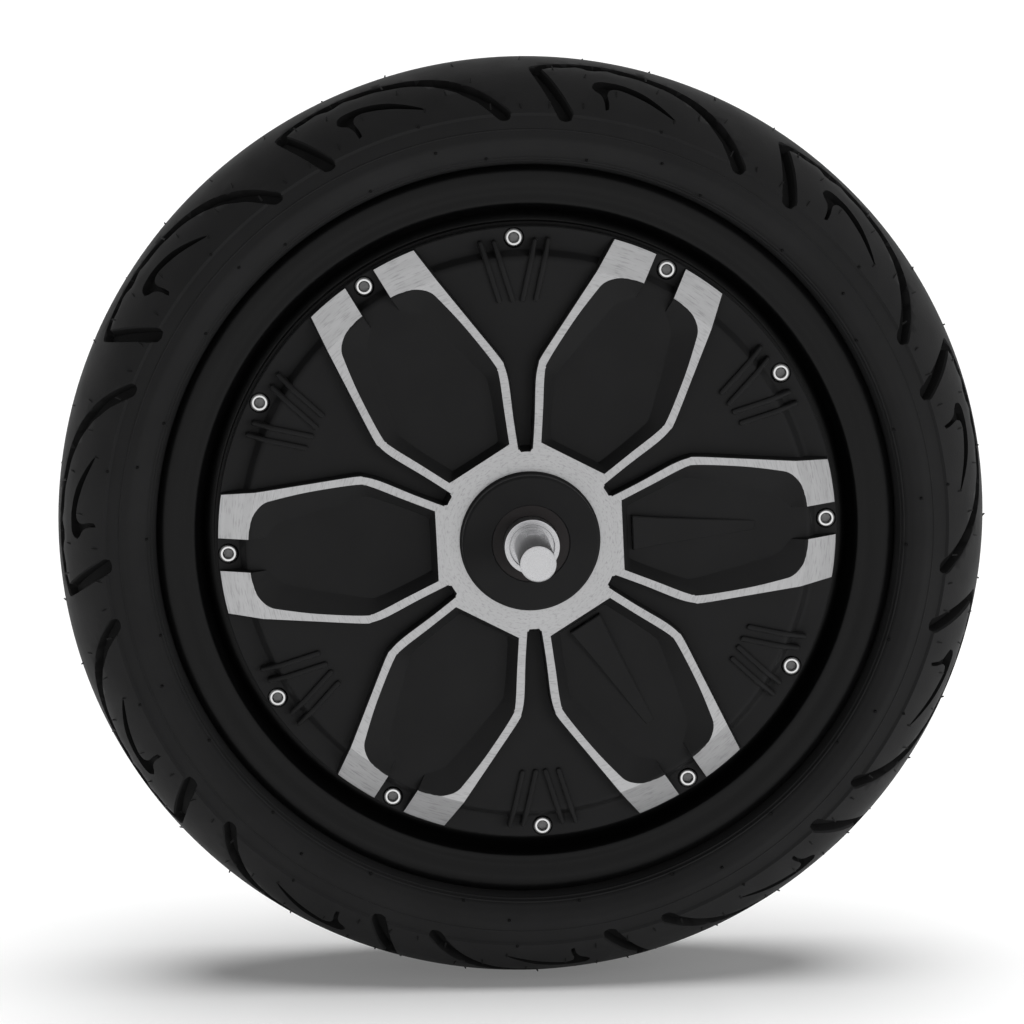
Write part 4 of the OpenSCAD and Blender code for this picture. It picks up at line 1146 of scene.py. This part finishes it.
class WheelSizes(bpy.types.PropertyGroup):
    """Counts and sizes of the visual pieces."""

    tread_repeats: IntProperty(
        name="Tread Repeats", description="Repeats of the tread's pattern round the tyre",
        default=11, min=6, max=24)
    groove_depth: FloatProperty(name="Groove Depth", description="Depth of the tread's main grooves",
                                default=0.005, min=0.002, max=0.007, unit="LENGTH")
    tread_start: FloatProperty(name="Tread Start", description="Angle of the tread's first groove",
                               default=math.radians(TREAD_START), unit="ROTATION")
    petals: IntProperty(name="Petals", description="Petals on the left cover", default=6, min=6, max=6)
    petal_start: FloatProperty(name="Petal Start", description="Angle of the first petal and screw",
                               default=math.radians(2.8), unit="ROTATION")
    screws: IntProperty(name="Screws", description="Screws in each cover", default=12, min=6, max=24)
    head_d: FloatProperty(name="Screw Head", description="Diameter of a cover screw's head", default=0.0085,
                          min=0.006, max=0.0089, unit="LENGTH")
    socket_w: FloatProperty(name="Screw Socket", description="Width across the flats of the screw's socket",
                            default=0.004, min=0.002, max=0.006, unit="LENGTH")
    rib_width: FloatProperty(name="Rib Width", description="Width of a cooling rib", default=0.0026,
                             min=0.001, max=0.004, unit="LENGTH")
    rib_rise: FloatProperty(name="Rib Rise", description="Height of a cooling rib over the disc",
                            default=0.0017, min=0.0005, max=0.003, unit="LENGTH")


class WheelColours(bpy.types.PropertyGroup):
    """Colours of the finishes."""

    tyre: colour_prop("Tyre", "Colour of the tyre's rubber", (0.013, 0.013, 0.0133))
    cover: colour_prop("Cover", "Colour of the covers' satin coat", (0.014, 0.014, 0.0143))
    rim: colour_prop("Rim", "Colour of the rim's coat", (0.002, 0.002, 0.0021))
    machined: colour_prop("Machined Face", "Colour of the lathe-cut ridges", (0.4, 0.4, 0.405))
    screw: colour_prop("Screws", "Colour of the stainless screws", (0.7, 0.7, 0.7))
    steel: colour_prop("Steel", "Colour of the axle and races", (0.5, 0.5, 0.51))
    alloy: colour_prop("Bare Alloy", "Colour of the cast stator carrier", (0.6, 0.6, 0.6))
    seal: colour_prop("Seals", "Colour of the shaft seals", (0.02, 0.018, 0.018))
    brass: colour_prop("Brass", "Colour of the valve stem and cages", (0.55, 0.4, 0.16))
    copper: colour_prop("Copper", "Colour of the coils' wire", (0.5, 0.16, 0.06))


def sizes():
    """The scene's sizes."""
    return bpy.context.scene.wheel_sizes


def colour(name):
    """One of the scene's colours."""
    return tuple(getattr(bpy.context.scene.wheel_colours, name))


def finish(name, make, *values, **options):
    """The named material, made on its first use."""
    return bpy.data.materials.get(name) or make(name, *values, **options)


def tyre_rubber():
    """Rubber of the tread and the sidewalls."""
    return finish("Tyre rubber", rubber, colour("tyre"))


def groove_shade_rubber():
    """Darker rubber down in the tread's grooves: painted shade where they are hollow."""
    return finish("Groove rubber", rubber, shade(colour("tyre"), 0.35), rough=0.75)


def cover_paint():
    """Black satin coat of both covers."""
    return finish("Cover satin coat", paint, colour("cover"))


def rim_paint():
    """Glossier black coat of the rim."""
    return finish("Rim satin coat", paint, colour("rim"), rough=0.34, gloss=0.16)


def machined():
    """Bare alloy where the lathe cut the petals' ridges and the collar."""
    return finish("Lathe-cut alloy", turned_metal, colour("machined"))


def stainless():
    """Screw heads, where they are bright."""
    return finish("Stainless steel", worked_metal, colour("screw"), rough=0.24)


def steel_painted_shade():
    """Darkened steel of the screw sockets and the heads' rounded sides: painted shade down in the sockets
    and a painted dark reflection on the rounded edges.
    """
    return finish("Dull steel", worked_metal, shade(colour("screw"), 0.2), rough=0.45)


# ---- Pieces ----

def make_tyre():
    """Tyre body with its grooved tread, and the marks that its mould left."""
    s = sizes()
    points, faces, in_groove = tyre_skin(s.tread_repeats, s.groove_depth / MM)
    tyre = add_piece("tyre_body", points, faces, [], crease=40, marks=in_groove)
    # The grooves' faces get the darker rubber, which paints shade into them.
    around(tyre, tyre_rubber(), groove_shade_rubber(), crease=40, Count=s.tread_repeats,
           First_Angle=s.tread_start, Merge_Distance=2 * SAME_PLACE)
    hand_over(tyre, WHEEL, "tyre_rubber", "tyre")
    marks = add_piece("tyre_vent_marks", *vent_marks(s.tread_repeats), [], crease=50)
    # The hairs and pips get rubber darker than the tyre's: painted shade standing in for the shadows that
    # they cast.
    vent_shade_rubber = finish("Vent rubber", rubber, shade(colour("tyre"), 0.25), rough=0.5)
    around(marks, vent_shade_rubber, crease=50, Count=s.tread_repeats, First_Angle=s.tread_start)
    return hand_over(marks, WHEEL, "tyre_rubber")


def closed_up(piece, distance):
    """Merges a piece's doubles, points its faces outwards, and returns how many edges are open."""
    body = bmesh.new()
    body.from_mesh(piece.data)
    bmesh.ops.remove_doubles(body, verts=body.verts, dist=distance)
    bmesh.ops.recalc_face_normals(body, faces=body.faces)
    loose = sum(1 for edge in body.edges if len(edge.link_faces) != 2)
    body.to_mesh(piece.data)
    body.free()
    return loose


def join_pieces(first, *others):
    """Joins pieces into the first one, keeping their materials."""
    bpy.ops.object.select_all(action="DESELECT")
    for piece in (first, *others):
        piece.select_set(True)
    bpy.context.view_layer.objects.active = first
    bpy.ops.object.join()


def post(name, radius, low, high, place, sides=48):
    """A round cutter standing on the right side at a place across the wheel."""
    turns = np.arange(sides) * 360.0 / sides
    ring = polar(np.full(sides, radius), turns) + place
    rings = [np.column_stack([ring, np.full(sides, z)]) for z in (low, high)]
    return add_piece(name, *skin(rings), [], side="right")


def make_rim():
    """Rim with the hollow, the hole and the inside pocket of its valve."""
    rim = add_piece("rim_body", *lathe(rim_section(), RIM_STEPS), [rim_paint()], crease=40)
    low, high = box_mm("valve_stem")
    place = ((low + high) / 2)[[0, 2]]
    foot = (high - low)[[0, 2]].max() / 2 + 0.6
    cut(rim, (
        post("valve_hollow", 7.5, 22.0, 34.0, place), post("valve_hole", 4.1, 2.0, 30.0, place),
        post("valve_pocket", foot, 6.0, 15.2, place)
    ))
    smooth(rim, 36)
    even_faces(rim)
    return hand_over(rim, WHEEL, "black_paint", "rim")


def make_left_cover():
    """Left cover as one closed piece: its face, repeated for each petal, and the turned rest."""
    s = sizes()
    points, faces, is_machined = cover_face()
    face = add_piece("left_cover_body", points, faces, [], marks=is_machined)
    around(face, cover_paint(), machined(), crease=24, Count=s.petals, First_Angle=s.petal_start)
    steps = SECTOR_STEPS * s.petals
    rest_points, rest_faces = lathe(left_cover_rest(), steps, closed=False)
    rest_points = swung(rest_points, s.petal_start - math.radians(HALF_SECTOR))
    rest = add_piece("left_cover_rest", rest_points, rest_faces, [cover_paint(), machined()])
    for polygon in rest.data.polygons:
        x, y, z = polygon.center
        if -y > COLLAR_Z * MM - 1e-5 and math.hypot(x, z) > COLLAR_FLAT_R * MM:
            polygon.material_index = 1
    join_pieces(face, rest)
    left_open = closed_up(face, 10 * SAME_PLACE)
    if left_open:
        raise RuntimeError("left cover has %d open edges" % left_open)
    smooth(face, 24)
    even_faces(face)
    return hand_over(face, WHEEL, "black_paint", "left_cover")


RIB_START_U = 109.5
RIB_END_U = 135.0
RIB_LEAN = 15
RIB_STARTS_V = (2.3, 8.4)
RIB_SECTION = (
    (-1, -0.6), (-1, 0.3), (-0.86, 0.72), (-0.5, 0.95), (0, 1.0), (0.5, 0.95), (0.86, 0.72), (1, 0.3),
    (1, -0.6)
)
WEDGE_LOW = -0.5
WEDGE_SECTIONS = (
    (46.6, 7.9, WEDGE_LOW), (47.0, 8.0, 2.6), (47.5, 7.9, 3.0), (60, 6.3, 2.4), (80, 4.3, 1.45),
    (100, 2.6, 0.5), (103.2, 2.2, 0.3), (103.8, 2.0, WEDGE_LOW)
)
WEDGE_PETALS = (0, 5)


def rib_shape(start_v, side):
    """One cooling rib of a fan, domed across and following the disc, the step and the ring."""
    s = sizes()
    half = s.rib_width / MM / 2
    disc = disc_profile()
    lean = math.radians(RIB_LEAN)
    length = (RIB_END_U - RIB_START_U) / math.cos(lean)
    direction = np.array([math.cos(lean), side * math.sin(lean)])
    across = np.array([-direction[1], direction[0]])
    start = np.array([RIB_START_U, side * start_v])
    head = half * np.array([-1, -0.97, -0.88, -0.7, -0.38, 0])
    tail = length + half * np.array([0, 0.38, 0.7, 0.88, 0.97, 1])
    places = np.concatenate([head, np.linspace(3, length - 3, 14), tail])
    rings = []
    for t in places:
        over = max(0.0, -t, t - length) / half
        wide = half * math.sqrt(max(0.0, 1 - over ** 2)) + 0.02
        centre = start + direction * t
        radius = np.linalg.norm(centre)
        base = np.interp(radius, disc[:, 0], disc[:, 1])
        crest = np.interp(radius, [126.3, 137.6], [DISC_Z + s.rib_rise / MM, 40.7])
        rise = (crest - base) * math.sqrt(max(0.04, 1 - over ** 8))
        ring = []
        for share, level in RIB_SECTION:
            height = base + (rise * level if level > 0 else -0.6)
            ring.append((*(centre + across * wide * share), height))
        rings.append(np.array(ring))
    return skin(rings)


def make_fan_ribs():
    """Four cooling ribs between each two petals."""
    s = sizes()
    parts = [rib_shape(v, side) for side in (-1, 1) for v in RIB_STARTS_V]
    ribs = add_piece("fan_ribs", *joined(parts), [], crease=50)
    around(ribs, cover_paint(), crease=50, Count=s.petals,
           First_Angle=s.petal_start + math.radians(HALF_SECTOR))
    return hand_over(ribs, WHEEL, "black_paint")


def wedge_shape(turn):
    """The raised wedge on one petal's pocket floor, falling towards the rim."""
    rings = []
    for u, half, rise in WEDGE_SECTIONS:
        ring = np.array([
            (u, -half, WEDGE_LOW), (u, -half, rise - 0.4), (u, -half + 0.5, rise),
            (u, half - 0.5, rise), (u, half, rise - 0.4), (u, half, WEDGE_LOW)
        ])
        ring[:, 2] = np.maximum(ring[:, 2], WEDGE_LOW) + DISC_Z
        rings.append(swung(ring, turn))
    return skin(rings)


def make_wedges():
    """Wedges on the two neighbouring petals that carry one."""
    start = sizes().petal_start
    parts = [wedge_shape(start + math.radians(2 * HALF_SECTOR * petal)) for petal in WEDGE_PETALS]
    wedges = add_piece("pocket_wedges", *joined(parts), [cover_paint()], crease=20)
    return hand_over(wedges, WHEEL, "black_paint")


SCREW_TURNS = np.arange(24) * 15.0
SHANK_R = 2.5
SOCKET_MOUTH_R = 2.6
SOCKET_DEEP = 2.4
# Inside the first radius (the socket) and outside the second (the head's rounded edge) the head's faces get
# darker steel: painted shade and a painted dark reflection.
PAINTED_SHADE_INSIDE_R = 2.5
PAINTED_SHADE_OUTSIDE_R = 3.4
SCREW_SEEDS = {"left": 11, "right": 5}


def level_ring(radius, z):
    """A ring of points at one height, round or with a radius of its own for each point."""
    round_radius = np.broadcast_to(radius, SCREW_TURNS.shape)
    return np.column_stack([polar(round_radius, SCREW_TURNS), np.full(24, z)])


def screw_shape():
    """A hexagon socket screw on the local Z axis: points, faces, and which get the darker steel, painted
    shade in the socket and on the rounded edge.
    """
    s = sizes()
    head = s.head_d / MM / 2
    hexagon = s.socket_w / MM / 2 / np.cos(np.radians((SCREW_TURNS + 30) % 60 - 30))
    edge = [level_ring(head - 1.0 * (1 - math.cos(a)), SCREW_TOP_Z - 0.9 * (1 - math.sin(a)))
            for a in np.radians([0, 22, 45, 66, 82, 90])]
    rings = [
        level_ring(SHANK_R, SCREW_END_Z), level_ring(SHANK_R, SEAT_Z), level_ring(head, SEAT_Z), *edge,
        level_ring(SOCKET_MOUTH_R, SCREW_TOP_Z), level_ring(hexagon, SCREW_TOP_Z - 0.5),
        level_ring(hexagon, SCREW_TOP_Z - SOCKET_DEEP),
        level_ring(hexagon * 0.3, SCREW_TOP_Z - SOCKET_DEEP - 0.2)
    ]
    points, faces = skin(rings)
    middle = np.array([np.mean([points[i] for i in face], axis=0) for face in faces])
    reach = np.hypot(middle[:, 0], middle[:, 1])
    # Socket and rounded-edge faces are marked for the darker steel, which is painted shade.
    in_painted_shade = ((reach < PAINTED_SHADE_INSIDE_R) | (reach > PAINTED_SHADE_OUTSIDE_R)) & (middle[:, 2] > SEAT_Z)
    return points, faces, in_painted_shade


def make_screws(side):
    """The ring of screws on one cover, their sockets turned at random."""
    s = sizes()
    points, faces, in_painted_shade = screw_shape()
    screws = add_piece(side + "_cover_screw_set", points, faces, [], side=side, crease=30, marks=in_painted_shade)
    # The second material paints shade into the sockets and onto the heads' rounded edges.
    around(screws, stainless(), steel_painted_shade(), crease=30, Count=s.screws, First_Angle=s.petal_start,
           Radius=SCREW_R * MM, Random_Turn=math.radians(60), Seed=SCREW_SEEDS[side])
    return hand_over(screws, WHEEL, "stainless", side + "_cover_screws")


CAD_CREASE = 30


def dressed(node, material, body, slot, bevel):
    """A smooth copy of a CAD node with its edges softened by bevel, standing for it."""
    name = node + "_body"
    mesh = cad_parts[node].data.copy()
    mesh.materials.clear()
    mesh.materials.append(material)
    piece = bpy.data.objects.new(name, mesh)
    mesh.name = name
    bpy.context.scene.collection.objects.link(piece)
    work = bmesh.new()
    work.from_mesh(mesh)
    for face in work.faces:
        face.material_index = 0
    bmesh.ops.remove_doubles(work, verts=work.verts, dist=SAME_PLACE)
    bmesh.ops.dissolve_limit(work, angle_limit=math.radians(0.3), verts=work.verts, edges=work.edges)
    bmesh.ops.recalc_face_normals(work, faces=work.faces)
    work.to_mesh(mesh)
    work.free()
    if mesh.has_custom_normals:
        bpy.context.view_layer.objects.active = piece
        bpy.ops.mesh.customdata_custom_splitnormals_clear()
    smooth(piece, CAD_CREASE)
    if bevel:
        step = piece.modifiers.new("Soft edges", "BEVEL")
        step.width = bevel
        step.segments = 2
        step.limit_method = "ANGLE"
        step.angle_limit = math.radians(40)
        step.use_clamp_overlap = True
        settle(piece)
        smooth(piece, CAD_CREASE)
    even_faces(piece)
    return hand_over(piece, body, slot, node)


# ---- Motor, bearings, axle and valve ----

def steel():
    """Ground steel of the axle and its spacers."""
    return finish("Ground steel", turned_metal, colour("steel"), rough=0.3)


def dress_all(rows):
    """Each row: node, material, body, slot, edge softening in metres."""
    for row in rows:
        dressed(*row)


def make_right_cover():
    """Right cover with its stiffeners and the disc's seat."""
    return dressed("right_cover", cover_paint(), WHEEL, "black_paint", 0.0005)


def make_axle():
    """Axle, its key and both spacers."""
    dress_all((
        ("axle", steel(), AXLE, "axle_steel", 0.0003),
        ("left_spacer", steel(), AXLE, "plain_steel", 0.0004),
        ("right_spacer", steel(), AXLE, "plain_steel", 0.0004),
        ("axle_key", steel(), AXLE, "plain_steel", 0.0002),
    ))


def make_bearings():
    """Both ball bearings and the shaft seals beside them."""
    seal = finish("Seal rubber", rubber, colour("seal"), rough=0.45, grain=2500.0)
    polished = finish("Bearing steel", turned_metal, shade(colour("steel"), 1.25), rough=0.18)
    brass = finish("Cage brass", worked_metal, colour("brass"), rough=0.3)
    for side, balls in (("left", "left_ball_set"), ("right", "right_ball_set")):
        dress_all((
            (side + "_seal", seal, WHEEL, "seal_rubber", 0.0003),
            (side + "_outer_race", polished, WHEEL, "bearing_steel", 0.0),
            (side + "_inner_race", polished, AXLE, "bearing_steel", 0.0),
            (side + "_balls", polished, balls, "bearing_steel", 0.0),
            (side + "_cage", brass, balls, "cage_brass", 0.0),
            (side + "_shields", polished, WHEEL, "plain_steel", 0.0),
        ))


def make_gaskets():
    """Gaskets between the rim and its covers."""
    sheet = finish("Gasket sheet", moulded, (0.05, 0.045, 0.04), rough=0.8)
    dress_all((
        ("left_gasket", sheet, WHEEL, "gasket_sheet", 0.0),
        ("right_gasket", sheet, WHEEL, "gasket_sheet", 0.0),
    ))


def make_rotor():
    """Flux ring and magnets in the rim's drum."""
    back_iron = finish("Back iron", turned_metal, shade(colour("steel"), 0.7), rough=0.42)
    plating = finish("Magnet plating", worked_metal, (0.52, 0.5, 0.45), rough=0.26)
    dress_all((
        ("flux_ring", back_iron, WHEEL, "plain_steel", 0.0),
        ("magnets", plating, WHEEL, "magnet_plating", 0.0002),
    ))


def make_stator():
    """Stator carrier, core, insulators, coils and the sensor board."""
    cast = finish("Cast alloy", worked_metal, colour("alloy"), rough=0.45, grain=500.0, depth=0.00008)
    sheets = finish("Laminations", laminated, (0.25, 0.25, 0.27), 0.001)
    ends = finish("End insulation", moulded, (0.62, 0.58, 0.44), rough=0.5)
    wire = finish("Enamelled copper", wound_copper, colour("copper"), 0.0009)
    board = finish("Circuit board", circuit_board, (0.01, 0.09, 0.03))
    chip = finish("Sensor plastic", moulded, (0.015, 0.015, 0.016), rough=0.45)
    dress_all((
        ("stator_spider", cast, AXLE, "cast_aluminium", 0.0),
        ("stator_core", sheets, AXLE, "laminations", 0.0),
        ("left_insulator", ends, AXLE, "insulation", 0.0),
        ("right_insulator", ends, AXLE, "insulation", 0.0),
        ("windings", wire, AXLE, "copper_wire", 0.0006),
        ("hall_board", board, AXLE, "circuit_board", 0.0),
        ("hall_sensors", chip, AXLE, "sensor_plastic", 0.0002),
    ))


def make_valve():
    """Valve stem, core, nut, cap and washer."""
    brass = finish("Valve brass", worked_metal, colour("brass"), rough=0.28)
    nickel = finish("Nickel plate", worked_metal, colour("screw"), rough=0.2)
    black = finish("Cap plastic", moulded, (0.012, 0.012, 0.012), rough=0.4)
    washer = finish("Washer rubber", rubber, (0.015, 0.015, 0.015), rough=0.6)
    dress_all((
        ("valve_stem", brass, WHEEL, "valve_brass", 0.0002),
        ("valve_core", brass, WHEEL, "valve_brass", 0.0),
        ("valve_nut", nickel, WHEEL, "plain_steel", 0.0003),
        ("valve_cap", black, WHEEL, "sensor_plastic", 0.0004),
        ("valve_washer", washer, WHEEL, "seal_rubber", 0.0),
    ))


# ---- Stage ----

FLOOR_WHITE = 0.85
FLOOR_GLOW = 0.16
FLOOR_HALF_W = 8
FLOOR_FRONT = -4
FLOOR_BACK = 14
SKY_ANGLE = 52.0
SKY_POWER = 3.3
SKY_FROM = (0.05, 0.03, 1.0)
WORLD_LEVELS = ((0.5, 0.05), (0.68, 0.07), (0.8, 0.16), (0.88, 0.14), (0.95, 0.02))
KEY_PLACE = (1.42, -1.55, 0.12)
KEY_SIZE = (1.2, 0.8)
KEY_POWER = 19.0
BACK_PLACE = (-0.3, 2.1, 0.3)
BACK_SIZE = (1.6, 1.0)
BACK_POWER = 16.0
CAMERA_PLACE = (-0.11157, -1.72528, 0.32323)
CAMERA_YAW = 3.53
CAMERA_PITCH = -10.46
CAMERA_LENS = 132.62


def floor_finish():
    """Plain white floor, on which the wheel's own shadow falls."""
    s = Shader("Floor")
    s.set(Base_Color=(FLOOR_WHITE, FLOOR_WHITE, FLOOR_WHITE, 1.0), Roughness=1.0, Specular_IOR_Level=0.0)
    s.set(Emission_Color=(1.0, 1.0, 1.0, 1.0), Emission_Strength=FLOOR_GLOW)
    return s.material


def make_floor():
    """Level floor that the tyre stands on."""
    mesh = bpy.data.meshes.new("floor")
    z = FLOOR_Z * MM
    wide = FLOOR_HALF_W
    corners = [
        (-wide, FLOOR_FRONT, z), (wide, FLOOR_FRONT, z), (wide, FLOOR_BACK, z), (-wide, FLOOR_BACK, z)
    ]
    mesh.from_pydata(corners, [], [(0, 1, 2, 3)])
    mesh.materials.append(floor_finish())
    floor = bpy.data.objects.new("floor", mesh)
    bpy.context.scene.collection.objects.link(floor)
    return floor


def area_light(name, place, size, power):
    """A rectangular lamp aimed at the wheel, which isn't seen in reflections."""
    lamp = bpy.data.lights.new(name, "AREA")
    lamp.shape = "RECTANGLE"
    lamp.size, lamp.size_y = size
    lamp.energy = power
    light = bpy.data.objects.new(name, lamp)
    light.location = place
    light.visible_glossy = False
    light.rotation_euler = (-Vector(place)).to_track_quat("-Z", "Y").to_euler()
    bpy.context.scene.collection.objects.link(light)
    return light


def linked_to_floor(light, floor, state):
    """Lets a lamp light only the floor (INCLUDE), or everything but the floor (EXCLUDE)."""
    reach = bpy.data.collections.new(light.name + " reach")
    reach.objects.link(floor)
    reach.collection_objects[0].light_linking.link_state = state
    light.light_linking.receiver_collection = reach


def floor_sky(floor):
    """Broad light from above that reaches only the floor, where the wheel casts its shadow."""
    lamp = bpy.data.lights.new("Floor sky", "SUN")
    lamp.angle = math.radians(SKY_ANGLE)
    lamp.energy = SKY_POWER
    light = bpy.data.objects.new("Floor sky", lamp)
    light.rotation_euler = (-Vector(SKY_FROM)).to_track_quat("-Z", "Y").to_euler()
    bpy.context.scene.collection.objects.link(light)
    linked_to_floor(light, floor, "INCLUDE")


def sky_level(tree, direction):
    """Light that the world sheds: most from a band high up, less from the left and the back,
    and a pale share from the right."""
    side, depth, up = direction.outputs
    ramp = tree.nodes.new("ShaderNodeValToRGB")
    while len(ramp.color_ramp.elements) < len(WORLD_LEVELS):
        ramp.color_ramp.elements.new(0.5)
    for stop, (at, level) in zip(ramp.color_ramp.elements, WORLD_LEVELS):
        stop.position = at
        stop.color = (level, level, level, 1.0)
    tree.links.new(math_node(tree, "MULTIPLY_ADD", up, 0.5, 0.5), ramp.inputs[0])
    left_dim = spread_node(tree, side, 0.3, 1.0, -0.8, 0.2)
    back_dim = spread_node(tree, depth, 1.0, 0.3, -0.2, 0.5)
    dimmed = math_node(tree, "MULTIPLY", ramp.outputs[0], left_dim)
    dimmed = math_node(tree, "MULTIPLY", dimmed, back_dim)
    return math_node(tree, "ADD", dimmed, spread_node(tree, side, 0.0, 0.4, 0.26, 0.95))


def make_world():
    """White to the camera and in reflections, and dimmer in the light that it sheds."""
    world = bpy.data.worlds.new("Studio")
    world.use_nodes = True
    tree = world.node_tree
    direction = tree.nodes.new("ShaderNodeSeparateXYZ")
    tree.links.new(tree.nodes.new("ShaderNodeTexCoord").outputs["Generated"], direction.inputs[0])
    rays = tree.nodes.new("ShaderNodeLightPath").outputs
    mirrored_rays = math_node(tree, "MAXIMUM", rays["Is Glossy Ray"], rays["Is Transmission Ray"])
    seen = math_node(tree, "MAXIMUM", rays["Is Camera Ray"], mirrored_rays)
    white = tree.nodes.new("ShaderNodeMix")
    white.data_type = "RGBA"
    tree.links.new(seen, white.inputs["Factor"])
    tree.links.new(sky_level(tree, direction), white.inputs["A"])
    white.inputs["B"].default_value = (1.0, 1.0, 1.0, 1.0)
    tree.links.new(white.outputs["Result"], tree.nodes["Background"].inputs["Color"])
    bpy.context.scene.world = world


def make_camera():
    """Camera in front of the left side, a little above the axle and to its left."""
    lens = bpy.data.cameras.new("Camera")
    lens.sensor_width = 36.0
    lens.lens = CAMERA_LENS
    lens.clip_end = 60.0
    camera = bpy.data.objects.new("Camera", lens)
    camera.location = CAMERA_PLACE
    yaw, pitch = math.radians(CAMERA_YAW), math.radians(CAMERA_PITCH)
    look = Vector((math.sin(yaw) * math.cos(pitch), math.cos(yaw) * math.cos(pitch), math.sin(pitch)))
    camera.rotation_euler = look.to_track_quat("-Z", "Y").to_euler()
    bpy.context.scene.collection.objects.link(camera)
    bpy.context.scene.camera = camera


def make_stage():
    """Floor, world, camera and lamps."""
    floor = make_floor()
    make_world()
    make_camera()
    key = area_light("Key", KEY_PLACE, KEY_SIZE, KEY_POWER)
    back = area_light("Back", BACK_PLACE, BACK_SIZE, BACK_POWER)
    linked_to_floor(key, floor, "EXCLUDE")
    linked_to_floor(back, floor, "EXCLUDE")
    floor_sky(floor)
    scene = bpy.context.scene
    scene.view_settings.view_transform = "Standard"


# ---- Operators, panel and run ----

class WHEEL_OT_add_tyre(bpy.types.Operator):
    """Builds the tyre with its grooved tread"""
    bl_idname = "wheel.add_tyre"
    bl_label = "Add Tyre"
    bl_options = {"REGISTER", "UNDO"}

    def execute(self, context):
        make_tyre()
        return {"FINISHED"}


class WHEEL_OT_add_rim(bpy.types.Operator):
    """Builds the cast rim"""
    bl_idname = "wheel.add_rim"
    bl_label = "Add Rim"
    bl_options = {"REGISTER", "UNDO"}

    def execute(self, context):
        make_rim()
        return {"FINISHED"}


class WHEEL_OT_add_left_cover(bpy.types.Operator):
    """Builds the left cover with its machined petals, ribs and wedges"""
    bl_idname = "wheel.add_left_cover"
    bl_label = "Add Left Cover"
    bl_options = {"REGISTER", "UNDO"}

    def execute(self, context):
        make_left_cover()
        make_fan_ribs()
        make_wedges()
        return {"FINISHED"}


class WHEEL_OT_add_right_cover(bpy.types.Operator):
    """Builds the right cover"""
    bl_idname = "wheel.add_right_cover"
    bl_label = "Add Right Cover"
    bl_options = {"REGISTER", "UNDO"}

    def execute(self, context):
        make_right_cover()
        return {"FINISHED"}


class WHEEL_OT_add_screws(bpy.types.Operator):
    """Sets the screws round both covers"""
    bl_idname = "wheel.add_screws"
    bl_label = "Add Cover Screws"
    bl_options = {"REGISTER", "UNDO"}

    def execute(self, context):
        make_screws("left")
        make_screws("right")
        return {"FINISHED"}


class WHEEL_OT_add_axle(bpy.types.Operator):
    """Builds the axle, its key and both spacers"""
    bl_idname = "wheel.add_axle"
    bl_label = "Add Axle"
    bl_options = {"REGISTER", "UNDO"}

    def execute(self, context):
        make_axle()
        return {"FINISHED"}


class WHEEL_OT_add_bearings(bpy.types.Operator):
    """Builds both bearings and shaft seals"""
    bl_idname = "wheel.add_bearings"
    bl_label = "Add Bearings"
    bl_options = {"REGISTER", "UNDO"}

    def execute(self, context):
        make_bearings()
        return {"FINISHED"}


class WHEEL_OT_add_gaskets(bpy.types.Operator):
    """Builds both cover gaskets"""
    bl_idname = "wheel.add_gaskets"
    bl_label = "Add Gaskets"
    bl_options = {"REGISTER", "UNDO"}

    def execute(self, context):
        make_gaskets()
        return {"FINISHED"}


class WHEEL_OT_add_rotor(bpy.types.Operator):
    """Builds the back iron and its magnets"""
    bl_idname = "wheel.add_rotor"
    bl_label = "Add Rotor"
    bl_options = {"REGISTER", "UNDO"}

    def execute(self, context):
        make_rotor()
        return {"FINISHED"}


class WHEEL_OT_add_stator(bpy.types.Operator):
    """Builds the stator core, its coils and the sensor board"""
    bl_idname = "wheel.add_stator"
    bl_label = "Add Stator"
    bl_options = {"REGISTER", "UNDO"}

    def execute(self, context):
        make_stator()
        return {"FINISHED"}


class WHEEL_OT_add_valve(bpy.types.Operator):
    """Builds the tyre valve"""
    bl_idname = "wheel.add_valve"
    bl_label = "Add Valve"
    bl_options = {"REGISTER", "UNDO"}

    def execute(self, context):
        make_valve()
        return {"FINISHED"}


class WHEEL_OT_add_stage(bpy.types.Operator):
    """Adds floor, lights, world and camera"""
    bl_idname = "wheel.add_stage"
    bl_label = "Add Stage"
    bl_options = {"REGISTER", "UNDO"}

    def execute(self, context):
        make_stage()
        return {"FINISHED"}


STEPS = (
    WHEEL_OT_add_tyre,
    WHEEL_OT_add_rim,
    WHEEL_OT_add_left_cover,
    WHEEL_OT_add_right_cover,
    WHEEL_OT_add_screws,
    WHEEL_OT_add_axle,
    WHEEL_OT_add_bearings,
    WHEEL_OT_add_gaskets,
    WHEEL_OT_add_rotor,
    WHEEL_OT_add_stator,
    WHEEL_OT_add_valve,
    WHEEL_OT_add_stage
)


class WHEEL_PT_build(bpy.types.Panel):
    """Sizes, colours and building steps of the wheel"""
    bl_idname = "WHEEL_PT_build"
    bl_label = "Hub Motor Wheel"
    bl_space_type = "VIEW_3D"
    bl_region_type = "UI"
    bl_category = "Wheel"

    def draw(self, context):
        layout = self.layout
        for group in (context.scene.wheel_sizes, context.scene.wheel_colours):
            box = layout.box()
            for name in group.bl_rna.properties.keys():
                if name not in ("rna_type", "name"):
                    box.prop(group, name)
        for step in STEPS:
            layout.operator(step.bl_idname)


CLASSES = (WheelSizes, WheelColours, *STEPS, WHEEL_PT_build)


def register():
    for cls in CLASSES:
        bpy.utils.register_class(cls)
    bpy.types.Scene.wheel_sizes = PointerProperty(type=WheelSizes)
    bpy.types.Scene.wheel_colours = PointerProperty(type=WheelColours)


def unregister():
    del bpy.types.Scene.wheel_colours
    del bpy.types.Scene.wheel_sizes
    for cls in reversed(CLASSES):
        bpy.utils.unregister_class(cls)


def main():
    register()
    for step in STEPS:
        group, name = step.bl_idname.split(".")
        getattr(getattr(bpy.ops, group), name)()


if __name__ == "__main__":
    main()
